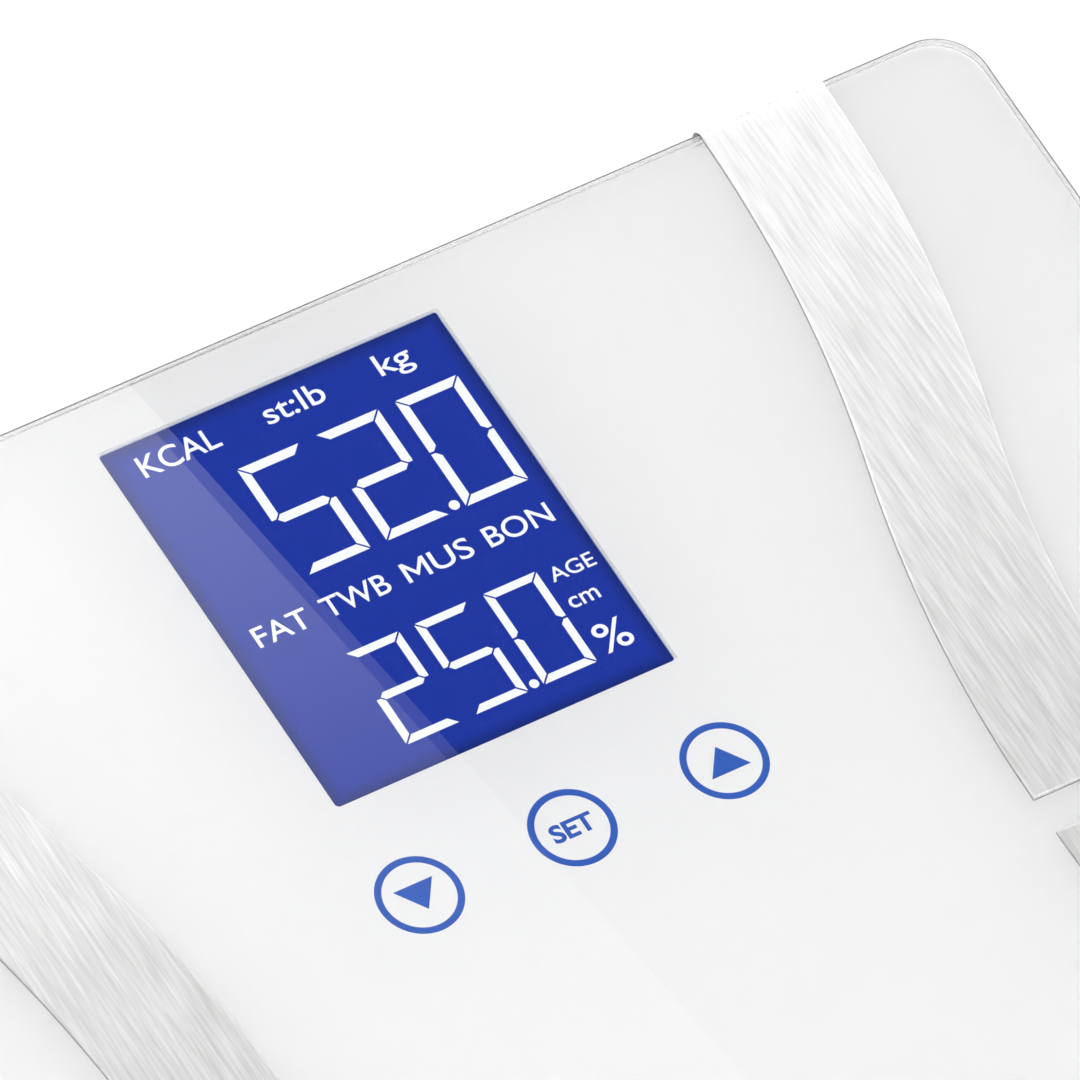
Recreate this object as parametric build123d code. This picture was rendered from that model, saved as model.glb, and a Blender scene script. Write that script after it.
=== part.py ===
from build123d import *

import math
import os

# A glass-topped body scale, as separate sub-parts. The origin is on the floor at the
# centre of the plate: +X to the user's right, +Y from the heels towards the display,
# +Z up. All lengths are in millimetres.

# Plan sizes
GLASS_SIDE = 300.0
GLASS_CORNER = 10.0
GLASS_EDGE = 1.8           # radius ground on the upper edge
GLASS_LOWER_EDGE = 1.5
TRAY_SIDE = 292.0
TRAY_CORNER = 8.0
WALL = 2.0

# Heights above the floor
COVER_Z = 4.5              # outer face of the bottom cover
COVER_FLOOR_Z = COVER_Z + WALL
SPLIT_Z = 11.0             # parting line of the cover and the tray
GLASS_Z = 18.4             # underside of the glass
GLASS_THICKNESS = 5.0
GLASS_TOP_Z = GLASS_Z + GLASS_THICKNESS
PRINT_THICKNESS = 0.2
PRINT_Z = GLASS_Z - PRINT_THICKNESS
TAPE_THICKNESS = 0.2
TRAY_TOP_Z = PRINT_Z - TAPE_THICKNESS
TRAY_CEILING_Z = TRAY_TOP_Z - WALL

# Electrodes: strips of constant width that follow two equal arcs
ELECTRODE_WIDTH = 25.8
ELECTRODE_THICKNESS = 0.8
ELECTRODE_GLUE = 0.1
ELECTRODE_NEAR_X = 74.6    # inner edge beside the plate's centre line
ELECTRODE_FAR_X = 95.0     # inner edge where the strip meets the glass edge
ELECTRODE_GAP = 7.4        # between the toe strip and the heel strip
ELECTRODE_RETURN = 12.0    # how far the strip folds back under the glass
ELECTRODE_BEND = 2.7       # outer radius of the fold

# Display and keys
VIEW_WIDTH, VIEW_HEIGHT = 69.9, 81.5
VIEW_Y = 99.2
VIEW_RIM = 0.9             # white frame seen inside the print's window
LCD_WIDTH, LCD_HEIGHT, LCD_THICKNESS = 74.0, 86.4, 2.0
LCD_TOP_Z = 17.75          # top of the display's cell, under the frame's lip
POLARIZER = 0.15
LIGHT_THICKNESS = 3.35
FRAME_WIDTH, FRAME_HEIGHT = 79.0, 89.8
FRAME_TOP_Z = PRINT_Z - 0.05
FRAME_Y = VIEW_Y - 0.6     # the lower border is wider, over the connector
KEY_Y = 36.5
KEY_X = {"down": -31.4, "set": 0.0, "up": 31.4}
KEY_RADIUS, KEY_LINE = 8.0, 1.3

# Main circuit board
BOARD_WIDTH, BOARD_LOW_Y, BOARD_HIGH_Y = 104.0, 23.0, 143.0
BOARD_THICKNESS = 1.6
BOARD_TOP_Z = LCD_TOP_Z - LCD_THICKNESS - POLARIZER - LIGHT_THICKNESS
BOARD_Z = BOARD_TOP_Z - BOARD_THICKNESS
BOARD_POSTS = [(x, y) for x in (-47.0, 47.0) for y in (28.0, 138.0)]

# Feet and load cells
FOOT_XY = 116.0
CAP_RADIUS, CAP_FLANGE = 19.0, 21.0
CAP_Z, CAP_FLANGE_Z, CAP_TOP_Z = 1.2, 7.3, 8.8
PAD_RADIUS, PAD_HEIGHT = 17.0, 2.4
CELL_SIDE, CELL_THICKNESS, CELL_Z = 34.0, 1.6, 9.6
CELL_TOP_Z = CELL_Z + CELL_THICKNESS
CELL_SCREW_XY = 13.8
CORNERS = {"toe_left": (-1, 1), "toe_right": (1, 1), "heel_left": (-1, -1), "heel_right": (1, -1)}

# Battery bay, with its cells along X
BAY_WIDTH, BAY_DEPTH, BAY_Y = 52.0, 46.0, -30.0
BAY_WALL = 1.5
BAY_ROOF_Z = 17.0
BATTERY_RADIUS, BATTERY_LENGTH, BATTERY_PITCH = 5.2, 43.5, 11.0
BATTERY_Z = 11.6
BATTERY_YS = [BAY_Y + (row - 1.5) * BATTERY_PITCH for row in range(4)]
DOOR_WIDTH, DOOR_DEPTH, DOOR_THICKNESS = 58.0, 50.0, 1.5
DOOR_TAB_X, DOOR_TAB_WIDTH, DOOR_TAB_LENGTH = 18.0, 8.0, 3.0
DOOR_GAP = 0.3
LATCH_WIDTH = 12.0

# Unit button
UNIT_X, UNIT_Y, UNIT_RADIUS = 30.0, 44.0, 3.5

# Cover screws
SCREW_QUARTER = ((75.0, 132.0), (136.0, 48.0))
SCREW_SPOTS = [(sx * x, sy * y) for x, y in SCREW_QUARTER for sx in (-1, 1) for sy in (-1, 1)]
SCREW_SHANK, SCREW_HEAD = 1.45, 3.0

# Leads
CELL_LEAD_RADIUS, THIN_LEAD_RADIUS = 1.0, 0.7


def slab(width, depth, low, high, corner=0.0, x=0.0, y=0.0):
    """Upright plate between two heights, with its corners rounded in plan."""
    outline = RectangleRounded(width, depth, corner) if corner else Rectangle(width, depth)
    return Pos(x, y, low) * extrude(outline, amount=high - low)


def disc(radius, low, high, x=0.0, y=0.0):
    """Upright cylinder between two heights."""
    return Pos(x, y, low) * extrude(Circle(radius), amount=high - low)


def ring(outer, inner, low, high, x=0.0, y=0.0):
    """Upright tube between two heights."""
    return disc(outer, low, high, x, y) - disc(inner, low, high, x, y)


def lead(points, radius, bend):
    """Round lead along straight runs joined by tangent arcs."""
    path = FilletPolyline(*points, radius=bend)
    section = Plane(origin=path @ 0, z_dir=path % 0) * Circle(radius)
    return sweep(section, path=path)


def coil_spring(radius, wire, low, high, turns, x=0.0, y=0.0):
    """Open coil spring that stands between two heights."""
    rise = high - low - 2 * wire
    path = Helix(pitch=rise / turns, height=rise, radius=radius)
    section = Plane(origin=path @ 0, z_dir=path % 0) * Circle(wire)
    return Pos(x, y, low + wire) * sweep(section, path=path, is_frenet=True)


def screw(radius, head_radius, head_low, head_high, tip, x, y):
    """Pan-head screw driven upwards, with a cross recess in its head."""
    body = disc(head_radius, head_low, head_high, x, y) + disc(radius, head_high, tip, x, y)
    for width, depth in ((head_radius * 1.3, 0.6), (0.6, head_radius * 1.3)):
        body -= slab(width, depth, head_low, head_low + 0.6, x=x, y=y)
    return body


def countersunk(radius, head_radius, head_low, tip, x, y):
    """Flat-head screw driven upwards, its head flush at the lower end."""
    cone_height = head_radius - radius
    head = Pos(x, y, head_low + cone_height / 2) * Cone(head_radius, radius, cone_height)
    return head + disc(radius, head_low, tip, x, y)


# ---- Glass, print and electrodes ----

def glass_platform():
    """Glass plate with rounded corners and a ground edge."""
    plate = slab(GLASS_SIDE, GLASS_SIDE, GLASS_Z, GLASS_TOP_Z, GLASS_CORNER)
    plate = fillet(plate.edges().group_by(Axis.Z)[-1], GLASS_EDGE)
    return fillet(plate.edges().group_by(Axis.Z)[0], GLASS_LOWER_EDGE)


def print_window(low, high):
    """Window in the print, a little larger than the visible display."""
    return slab(VIEW_WIDTH + 2 * VIEW_RIM, VIEW_HEIGHT + 2 * VIEW_RIM, low, high, 1.5, y=VIEW_Y)


def back_print():
    """White print that covers the underside of the glass."""
    side = GLASS_SIDE - 2 * GLASS_EDGE
    sheet = slab(side, side, PRINT_Z, GLASS_Z - 0.05, GLASS_CORNER - GLASS_EDGE)
    return sheet - print_window(PRINT_Z, GLASS_Z)


def key_legends():
    """Printed rings and arrows of the three touch keys."""
    low, high = GLASS_Z - 0.05, GLASS_Z
    shapes = [ring(KEY_RADIUS, KEY_RADIUS - KEY_LINE, low, high, x, KEY_Y) for x in KEY_X.values()]
    for key, way in (("down", -1), ("up", 1)):
        arrow = Polygon((-4.0, -2.4 * way), (4.0, -2.4 * way), (0.0, 3.2 * way), align=None)
        shapes.append(plate_from(Pos(KEY_X[key], KEY_Y) * arrow, low, high))
    return Compound(shapes)


def electrode_outline(sx, sy, end_y):
    """Outline of one strip up to end_y: two tangent arcs on each side."""
    start_y = ELECTRODE_GAP / 2
    middle_x = (ELECTRODE_NEAR_X + ELECTRODE_FAR_X) / 2
    middle_y = (start_y + end_y) / 2
    sides = []
    for shift in (0.0, ELECTRODE_WIDTH):
        near = TangentArc(
            (ELECTRODE_NEAR_X + shift, start_y), (middle_x + shift, middle_y), tangent=(0, 1)
        )
        far = TangentArc(near @ 1, (ELECTRODE_FAR_X + shift, end_y), tangent=near % 1)
        sides.append(Curve() + [near, far])
    inner, outer = sides
    ends = [Line(inner @ 0, outer @ 0), Line(inner @ 1, outer @ 1)]
    face = make_face(Curve() + [inner, outer, *ends])
    if sx < 0:
        face = mirror(face, Plane.YZ)
    if sy < 0:
        face = mirror(face, Plane.XZ)
    return face


def plate_from(face, low, high):
    """Plate between two heights from a flat outline, whichever way it faces."""
    return Pos(0, 0, low) * extrude(face, amount=high - low, dir=(0, 0, 1))


def electrode_fold(sx, sy):
    """Fold of a strip round the glass edge, back under the glass."""
    edge_y = GLASS_SIDE / 2
    inner_low = PRINT_Z - ELECTRODE_GLUE
    inner_high = GLASS_TOP_Z + ELECTRODE_GLUE
    centre_z = (inner_low + inner_high) / 2
    height = inner_high - inner_low
    length = 2 * ELECTRODE_RETURN
    skin = ELECTRODE_THICKNESS
    outside = RectangleRounded(length + 2 * skin, height + 2 * skin, ELECTRODE_BEND)
    inside = RectangleRounded(length, height, ELECTRODE_BEND - skin)
    profile = outside - inside
    centre_y = edge_y + ELECTRODE_GLUE - ELECTRODE_RETURN
    plane = Plane(origin=(0, sy * centre_y, centre_z), x_dir=(0, sy, 0), z_dir=(sy, 0, 0))
    fold = extrude(plane * profile, amount=ELECTRODE_WIDTH / 2, both=True)
    fold = Pos(sx * (ELECTRODE_FAR_X + ELECTRODE_WIDTH / 2), 0, 0) * fold
    start_y = edge_y + ELECTRODE_GLUE + skin - ELECTRODE_BEND
    keep_low = slab(GLASS_SIDE, 40, 0, centre_z, y=sy * (centre_y + 20))
    keep_high = slab(GLASS_SIDE, 40, centre_z, 40, y=sy * (start_y + 20))
    return fold & (keep_low + keep_high)


def electrode(sx, sy):
    """One contact strip with its fold."""
    end_y = GLASS_SIDE / 2 + ELECTRODE_GLUE + ELECTRODE_THICKNESS - ELECTRODE_BEND
    low = GLASS_TOP_Z + ELECTRODE_GLUE
    strip = plate_from(electrode_outline(sx, sy, end_y), low, low + ELECTRODE_THICKNESS)
    return strip + electrode_fold(sx, sy)


def electrode_adhesive():
    """Glue film under the flat run of each strip."""
    end_y = GLASS_SIDE / 2 - GLASS_EDGE
    faces = [electrode_outline(sx, sy, end_y) for sx, sy in CORNERS.values()]
    return Compound([plate_from(face, GLASS_TOP_Z, GLASS_TOP_Z + ELECTRODE_GLUE) for face in faces])


def fold_recess(sx, sy):
    """Pocket in the tray's top that clears a strip's return flange."""
    low = PRINT_Z - ELECTRODE_GLUE - ELECTRODE_THICKNESS - 0.1
    centre_x = sx * (ELECTRODE_FAR_X + ELECTRODE_WIDTH / 2)
    depth = ELECTRODE_RETURN + 1
    return slab(ELECTRODE_WIDTH + 1, depth, low, GLASS_Z, x=centre_x, y=sy * (GLASS_SIDE / 2 - depth / 2))


def bonding_tape():
    """Tape frame that bonds the print to the tray."""
    side = TRAY_SIDE - 2
    tape = slab(side, side, TRAY_TOP_Z, PRINT_Z, TRAY_CORNER - 1)
    tape -= slab(side - 16, side - 16, TRAY_TOP_Z, PRINT_Z, TRAY_CORNER - 2)
    tape -= slab(FRAME_WIDTH + 1, FRAME_HEIGHT + 1, TRAY_TOP_Z, PRINT_Z, y=FRAME_Y)
    for sx, sy in CORNERS.values():
        tape -= fold_recess(sx, sy)
    return tape


# ---- Housing ----

def tray_ribs():
    """Stiffening ribs under the tray's ceiling."""
    low = TRAY_CEILING_Z - 3
    ribs = [slab(WALL * 0.75, 180, low, TRAY_CEILING_Z, x=x) for x in (-86.0, 86.0)]
    ribs += [slab(260, WALL * 0.75, low, TRAY_CEILING_Z, y=y) for y in (-88.0, 10.0)]
    ribs += [slab(60, WALL * 0.75, low, TRAY_CEILING_Z, x=sx * 110, y=60) for sx in (-1, 1)]
    return ribs


def cell_bars(sx, sy):
    """Two bars that a load cell's outer frame is screwed to."""
    x, y = sx * FOOT_XY, sy * FOOT_XY
    rows = [y + side * CELL_SCREW_XY for side in (-1, 1)]
    return [slab(CELL_SIDE, 6, CELL_TOP_Z, TRAY_CEILING_Z, x=x, y=row) for row in rows]


def top_tray():
    """Tray that carries the glass, the electronics and the load cells."""
    tray = slab(TRAY_SIDE, TRAY_SIDE, SPLIT_Z, TRAY_TOP_Z, TRAY_CORNER)
    inner = TRAY_SIDE - 2 * WALL
    tray -= slab(inner, inner, SPLIT_Z, TRAY_CEILING_Z, TRAY_CORNER - WALL)
    for rib in tray_ribs():
        tray += rib
    for sx, sy in CORNERS.values():
        for bar in cell_bars(sx, sy):
            tray += bar
    for x, y in SCREW_SPOTS:
        tray += disc(4, COVER_FLOOR_Z + WALL, TRAY_CEILING_Z, x, y)
    for x, y in BOARD_POSTS:
        tray += disc(3, BOARD_TOP_Z, TRAY_CEILING_Z, x, y)
    bay_outside = (BAY_WIDTH + 2 * BAY_WALL, BAY_DEPTH + 2 * BAY_WALL)
    tray += slab(*bay_outside, COVER_FLOOR_Z + 0.1, TRAY_TOP_Z, y=BAY_Y)
    tray -= slab(BAY_WIDTH, BAY_DEPTH, COVER_FLOOR_Z, BAY_ROOF_Z, y=BAY_Y)
    tray -= tray_openings()
    return tray


def tray_openings():
    """Everything cut from the tray: display, keys, folds, screw holes, bay notches."""
    cuts = [slab(FRAME_WIDTH + 1, FRAME_HEIGHT + 1, TRAY_CEILING_Z, GLASS_Z, 2, y=FRAME_Y)]
    cuts += [disc(6, TRAY_CEILING_Z, GLASS_Z, x, KEY_Y) for x in KEY_X.values()]
    for sx, sy in CORNERS.values():
        cuts.append(fold_recess(sx, sy))
        cuts.append(disc(3.5, TRAY_CEILING_Z, GLASS_Z, *contact_spot(sx, sy)))
        for x, y in cell_screw_spots(sx, sy):
            cuts.append(disc(1.3, CELL_TOP_Z, CELL_TOP_Z + 4, x, y))
    cuts += [disc(SCREW_SHANK, COVER_FLOOR_Z, TRAY_CEILING_Z - 1, x, y) for x, y in SCREW_SPOTS]
    cuts += [disc(1.2, BOARD_TOP_Z, BOARD_TOP_Z + 3, x, y) for x, y in BOARD_POSTS]
    notch_y = BAY_Y + BAY_DEPTH / 2 + BAY_WALL / 2
    for sx in (-1, 1):
        notch_width = DOOR_TAB_WIDTH + 1.5
        cuts.append(slab(notch_width, 4, COVER_FLOOR_Z, 12, x=sx * DOOR_TAB_X, y=notch_y))
    cuts.append(slab(10, 4, 12, 15, y=notch_y))
    cuts.append(slab(LATCH_WIDTH + 2, 4, COVER_FLOOR_Z, COVER_FLOOR_Z + 4, y=2 * BAY_Y - notch_y))
    return Compound(cuts)


def bottom_cover():
    """Shallow cover with holes for the feet, the battery door and the unit button."""
    cover = slab(TRAY_SIDE, TRAY_SIDE, COVER_Z, SPLIT_Z, TRAY_CORNER)
    cover = fillet(cover.edges().group_by(Axis.Z)[0], 4)
    inner = TRAY_SIDE - 2 * WALL
    cover -= slab(inner, inner, COVER_FLOOR_Z + 2.5, SPLIT_Z, TRAY_CORNER - WALL)
    cover -= slab(inner - 5, inner - 5, COVER_FLOOR_Z, SPLIT_Z, TRAY_CORNER - WALL - 2.5)
    lip = inner - 0.4
    cover += slab(lip, lip, SPLIT_Z - 2, SPLIT_Z + 1.5, TRAY_CORNER - WALL) - slab(
        lip - 2, lip - 2, SPLIT_Z - 2, SPLIT_Z + 1.5, TRAY_CORNER - WALL - 1
    )
    cover -= slab(BOARD_WIDTH + 4, 4, COVER_FLOOR_Z + 1, SPLIT_Z + 2, y=inner / 2 - 2)
    for x, y in SCREW_SPOTS:
        cover += disc(4.5, COVER_FLOOR_Z - 0.5, COVER_FLOOR_Z + WALL, x, y)
        cover -= disc(SCREW_HEAD + 0.3, COVER_Z, COVER_FLOOR_Z - 0.2, x, y)
        cover -= disc(SCREW_SHANK + 0.2, COVER_Z, COVER_FLOOR_Z + WALL, x, y)
    for sx, sy in CORNERS.values():
        cover -= disc(CAP_RADIUS + 0.4, COVER_Z, COVER_FLOOR_Z, sx * FOOT_XY, sy * FOOT_XY)
    cover -= slab(DOOR_WIDTH, DOOR_DEPTH, COVER_Z, COVER_FLOOR_Z, 2, y=BAY_Y)
    cover -= disc(UNIT_RADIUS + 0.3, COVER_Z, COVER_FLOOR_Z, UNIT_X, UNIT_Y)
    return cover


def cover_screws():
    """Screws that hold the cover to the tray."""
    head_low, head_high = COVER_Z + 0.3, COVER_FLOOR_Z - 0.2
    tip = TRAY_CEILING_Z - 2
    sizes = (SCREW_SHANK, SCREW_HEAD, head_low, head_high, tip)
    return Compound([screw(*sizes, x, y) for x, y in SCREW_SPOTS])


def rating_label():
    """Blank label on the cover."""
    return slab(60, 32, COVER_Z - 0.15, COVER_Z, 2, y=-100)


# ---- Display and electronics ----

def display_frame():
    """White frame that holds the display cell and its light guide on the board."""
    outside = slab(FRAME_WIDTH, FRAME_HEIGHT, BOARD_TOP_Z, FRAME_TOP_Z, 2, y=FRAME_Y)
    cell_space = slab(LCD_WIDTH + 0.4, LCD_HEIGHT + 0.4, BOARD_TOP_Z, LCD_TOP_Z + 0.05, y=FRAME_Y)
    opening = slab(VIEW_WIDTH, VIEW_HEIGHT, LCD_TOP_Z, FRAME_TOP_Z, 1, y=VIEW_Y)
    return outside - cell_space - opening


def display_layers():
    """Display cell, its polarizers and what lights it, as name to solid."""
    trim = 1.0
    zebra_depth = 2.5
    panel_low = LCD_TOP_Z - LCD_THICKNESS
    light_top = panel_low - POLARIZER
    film_y = FRAME_Y + zebra_depth / 2
    film = (LCD_WIDTH - 2 * trim, LCD_HEIGHT - 2 * trim - zebra_depth)
    guide_y = FRAME_Y + (zebra_depth + 1) / 2
    guide = (LCD_WIDTH - 3, LCD_HEIGHT - zebra_depth - 1)
    zebra_y = FRAME_Y - LCD_HEIGHT / 2 + zebra_depth / 2 + 0.2
    film_low, film_high = LCD_TOP_Z, LCD_TOP_Z + POLARIZER
    return {
        "front_polarizer": slab(VIEW_WIDTH - 0.4, VIEW_HEIGHT - 0.4, film_low, film_high, 0.8, y=VIEW_Y),
        "lcd_panel": slab(LCD_WIDTH, LCD_HEIGHT, panel_low, LCD_TOP_Z, y=FRAME_Y),
        "rear_polarizer": slab(*film, light_top, panel_low, y=film_y),
        "light_guide": slab(*guide, BOARD_TOP_Z + 0.2, light_top, x=-1.5, y=guide_y),
        "backlight_reflector": slab(*guide, BOARD_TOP_Z, BOARD_TOP_Z + 0.2, x=-1.5, y=guide_y),
        "backlight_strip": slab(
            2.4, guide[1] - 6, BOARD_TOP_Z, light_top, x=LCD_WIDTH / 2 - 1.5, y=guide_y
        ),
        "zebra_connector": slab(LCD_WIDTH - 4, zebra_depth, BOARD_TOP_Z, panel_low, y=zebra_y),
    }


def main_board():
    """Circuit board under the display and the keys."""
    depth = BOARD_HIGH_Y - BOARD_LOW_Y
    board = slab(BOARD_WIDTH, depth, BOARD_Z, BOARD_TOP_Z, 1.5, y=(BOARD_LOW_Y + BOARD_HIGH_Y) / 2)
    for x, y in BOARD_POSTS:
        board -= disc(1.4, BOARD_Z, BOARD_TOP_Z, x, y)
    return board


def board_screws():
    """Screws that hold the board to the tray's posts."""
    sizes = (1.2, 2.4, BOARD_Z - 1.3, BOARD_Z, BOARD_TOP_Z + 3)
    return Compound([screw(*sizes, x, y) for x, y in BOARD_POSTS])


def board_chips():
    """Controller, converter, amplifier and small parts under the board."""
    chips = (
        (14.0, 14.0, 1.6, -12.0, 70.0), (7.0, 7.0, 1.2, 16.0, 72.0), (5.0, 6.5, 1.4, 20.0, 92.0),
        (8.0, 3.6, 1.8, -14.0, 92.0), (3.2, 2.5, 1.0, 4.0, 88.0), (3.2, 2.5, 1.0, 4.0, 58.0),
        (4.0, 4.0, 1.8, -30.0, 58.0), (4.0, 4.0, 1.8, -30.0, 48.0), (3.0, 1.6, 0.9, 32.0, 72.0),
        (3.0, 1.6, 0.9, 32.0, 78.0),
    )
    return Compound([slab(w, d, BOARD_Z - h, BOARD_Z, x=x, y=y) for w, d, h, x, y in chips])


def connector_spots():
    """Places on the board's edge where each load cell's lead plugs in."""
    return {
        "toe_left": (-47.0, 116.0), "toe_right": (47.0, 116.0),
        "heel_left": (-38.0, 27.5), "heel_right": (38.0, 27.5),
    }


def lead_connectors():
    """Sockets under the board for the load cell leads."""
    spots = connector_spots().values()
    return Compound([slab(8, 7, BOARD_Z - 3.4, BOARD_Z, x=x, y=y) for x, y in spots])


def touch_spring(x):
    """Spring that carries a key's touch signal to the glass."""
    return coil_spring(4.0, 0.3, BOARD_TOP_Z, PRINT_Z, 3, x, KEY_Y)


def unit_switch():
    """Case of the tactile switch under the board."""
    case = slab(6, 6, BOARD_Z - 2, BOARD_Z, x=UNIT_X, y=UNIT_Y)
    return case - disc(1.7, BOARD_Z - 2, BOARD_Z - 0.4, UNIT_X, UNIT_Y)


def unit_plunger():
    """Plunger of the tactile switch."""
    return disc(1.5, BOARD_Z - 2.6, BOARD_Z - 1.0, UNIT_X, UNIT_Y)


def unit_button():
    """Button in the cover that changes the weighing unit."""
    button = disc(UNIT_RADIUS, COVER_Z - 0.4, COVER_FLOOR_Z + 0.2, UNIT_X, UNIT_Y)
    button = fillet(button.edges().group_by(Axis.Z)[0], 0.4)
    button += disc(UNIT_RADIUS + 1.5, COVER_FLOOR_Z + 0.1, COVER_FLOOR_Z + 0.7, UNIT_X, UNIT_Y)
    return button + disc(1.5, COVER_FLOOR_Z + 0.5, BOARD_Z - 2.6, UNIT_X, UNIT_Y)


# ---- Power ----

def battery_door():
    """Door with two hinge tabs at its toe edge and a latch tongue at its heel edge."""
    low, high = COVER_Z, COVER_Z + DOOR_THICKNESS
    width, depth = DOOR_WIDTH - 2 * DOOR_GAP, DOOR_DEPTH - 2 * DOOR_GAP
    door = slab(width, depth, low, high, 2 - DOOR_GAP, y=BAY_Y)
    hinge_y = BAY_Y + depth / 2
    for sx in (-1, 1):
        x = sx * DOOR_TAB_X
        tab_low, tab_high = COVER_FLOOR_Z + 0.4, COVER_FLOOR_Z + 1.6
        riser = slab(DOOR_TAB_WIDTH, 1.5, high - 0.2, tab_high, x=x, y=hinge_y - 0.75)
        tab_y = hinge_y + DOOR_TAB_LENGTH / 2 - 0.25
        tab = slab(DOOR_TAB_WIDTH, DOOR_TAB_LENGTH + 0.5, tab_low, tab_high, x=x, y=tab_y)
        door += riser + tab
    latch_y = BAY_Y - depth / 2
    door += slab(LATCH_WIDTH, 1.0, high - 0.2, COVER_FLOOR_Z + 2.5, y=latch_y + 0.9)
    grip = slab(16, 5, low, low + 0.7, 2.4, y=latch_y + 5)
    return door - grip


def battery(row):
    """One AAA cell; neighbours point opposite ways."""
    way = 1 if row % 2 else -1
    case = Pos(0, 0, -BATTERY_LENGTH / 2) * extrude(Circle(BATTERY_RADIUS), amount=BATTERY_LENGTH)
    case = chamfer(case.edges(), 0.4)
    nub = Pos(0, 0, BATTERY_LENGTH / 2) * extrude(Circle(1.9), amount=1.0)
    return Pos(way * 0.8, BATTERY_YS[row], BATTERY_Z) * (Rot(0, way * 90, 0) * (case + nub))


def battery_springs():
    """Coil spring at the flat end of each cell."""
    springs = []
    for row, y in enumerate(BATTERY_YS):
        way = 1 if row % 2 else -1
        outer = BAY_WIDTH / 2 - 0.6
        length = outer - (BATTERY_LENGTH / 2 - 0.8)
        spring = coil_spring(3.0, 0.35, 0, length, 3)
        springs.append(Pos(-way * outer, y, BATTERY_Z) * (Rot(0, way * 90, 0) * spring))
    return Compound(springs)


def battery_contacts():
    """Contact plates on the bay's end walls."""
    plates = []
    for sx in (-1, 1):
        for y in BATTERY_YS:
            x = sx * (BAY_WIDTH / 2 - 0.3)
            plates.append(slab(0.5, 9.0, BATTERY_Z - 4.5, BATTERY_Z + 4.5, x=x, y=y))
    return Compound(plates)


# ---- Feet and load cells ----

def foot_cap(sx, sy):
    """Moving foot: it slides in the cover and bears on the load cell's tongue."""
    x, y = sx * FOOT_XY, sy * FOOT_XY
    cap = disc(CAP_RADIUS, CAP_Z, CAP_FLANGE_Z, x, y)
    cap = chamfer(cap.edges().group_by(Axis.Z)[0], 0.5)
    cap += disc(CAP_FLANGE, CAP_FLANGE_Z, CAP_TOP_Z, x, y)
    cap -= ring(16.5, 5.0, PAD_HEIGHT + 1.6, CAP_TOP_Z, x, y)
    for angle in (0, 60, 120):
        rib = Rot(0, 0, angle) * slab(34, 1.4, PAD_HEIGHT + 1, CAP_TOP_Z - 1.5)
        cap += Pos(x, y, 0) * rib
    cap += disc(3, CAP_TOP_Z - 1, CELL_Z, x, y)
    return cap - disc(PAD_RADIUS, CAP_Z, PAD_HEIGHT, x, y)


def foot_pad(sx, sy):
    """Rubber pad with ring grooves in its sole."""
    x, y = sx * FOOT_XY, sy * FOOT_XY
    pad = disc(PAD_RADIUS, 0, PAD_HEIGHT, x, y)
    pad = fillet(pad.edges().group_by(Axis.Z)[0], 0.6)
    for radius in (5.0, 9.0, 13.0):
        pad -= ring(radius + 0.6, radius - 0.6, 0, 0.5, x, y)
    return pad


def cell_screw_spots(sx, sy):
    """Two diagonal screws for each load cell."""
    shifts = (-CELL_SCREW_XY, CELL_SCREW_XY)
    return [(sx * FOOT_XY + shift, sy * FOOT_XY + shift) for shift in shifts]


def load_cell(sx, sy):
    """Steel half-bridge plate: an outer frame and a sprung tongue."""
    x, y = sx * FOOT_XY, sy * FOOT_XY
    plate = slab(CELL_SIDE, CELL_SIDE, CELL_Z, CELL_TOP_Z, 2, x=x, y=y)
    for side in (-1, 1):
        plate -= slab(2.2, 22, CELL_Z, CELL_TOP_Z, x=x + side * 7.5, y=y)
    plate -= slab(17.2, 2.2, CELL_Z, CELL_TOP_Z, x=x, y=y + sy * 9.9)
    for spot in cell_screw_spots(sx, sy):
        plate -= countersunk(1.35, 2.75, CELL_Z, CELL_TOP_Z, *spot)
    return plate


def cell_screws():
    """Flat-head screws that hold the load cells."""
    screws = []
    for sx, sy in CORNERS.values():
        for spot in cell_screw_spots(sx, sy):
            screws.append(countersunk(1.3, 2.7, CELL_Z, CELL_TOP_Z + 4, *spot))
    return Compound(screws)


def gauge_spot(sx, sy):
    """Centre of the gauge coating, at the root of the tongue."""
    return sx * (FOOT_XY - 4), sy * (FOOT_XY - 7)


def gauge_coatings():
    """Silicone over each load cell's strain gauges."""
    blobs = []
    for sx, sy in CORNERS.values():
        x, y = gauge_spot(sx, sy)
        blob = slab(12, 6, CELL_TOP_Z, CELL_TOP_Z + 2.4, x=x, y=y)
        blobs.append(fillet(blob.edges().group_by(Axis.Z)[-1], 0.8))
    return Compound(blobs)


def load_cell_lead(corner):
    """Lead from a load cell to its socket on the board."""
    sx, sy = CORNERS[corner]
    gauge_x, gauge_y = gauge_spot(sx, sy)
    plug_x, plug_y = connector_spots()[corner]
    start = (gauge_x - sx * 6, gauge_y, CELL_TOP_Z + 1.2)
    clear = (94 * sx, gauge_y, CELL_TOP_Z + 1.2)
    low = COVER_FLOOR_Z + 2.0
    if sy > 0:
        points = [
            start, clear, (80 * sx, 112, low + 1), (66 * sx, plug_y, low + 0.5),
            (51 * sx, plug_y, low + 0.5),
        ]
    else:
        points = [
            start, clear, (78 * sx, -104, low + 0.5), (62 * sx, -82, low), (46 * sx, -44, low),
            (42 * sx, 0, low), (plug_x, 13, low + 0.5), (plug_x, 24, low + 0.5),
        ]
    return lead(points, CELL_LEAD_RADIUS, 4.0)


def contact_spot(sx, sy):
    """Where a spring meets a strip's return flange."""
    return sx * (ELECTRODE_FAR_X + ELECTRODE_WIDTH / 2), sy * (GLASS_SIDE / 2 - ELECTRODE_RETURN + 3.4)


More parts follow.
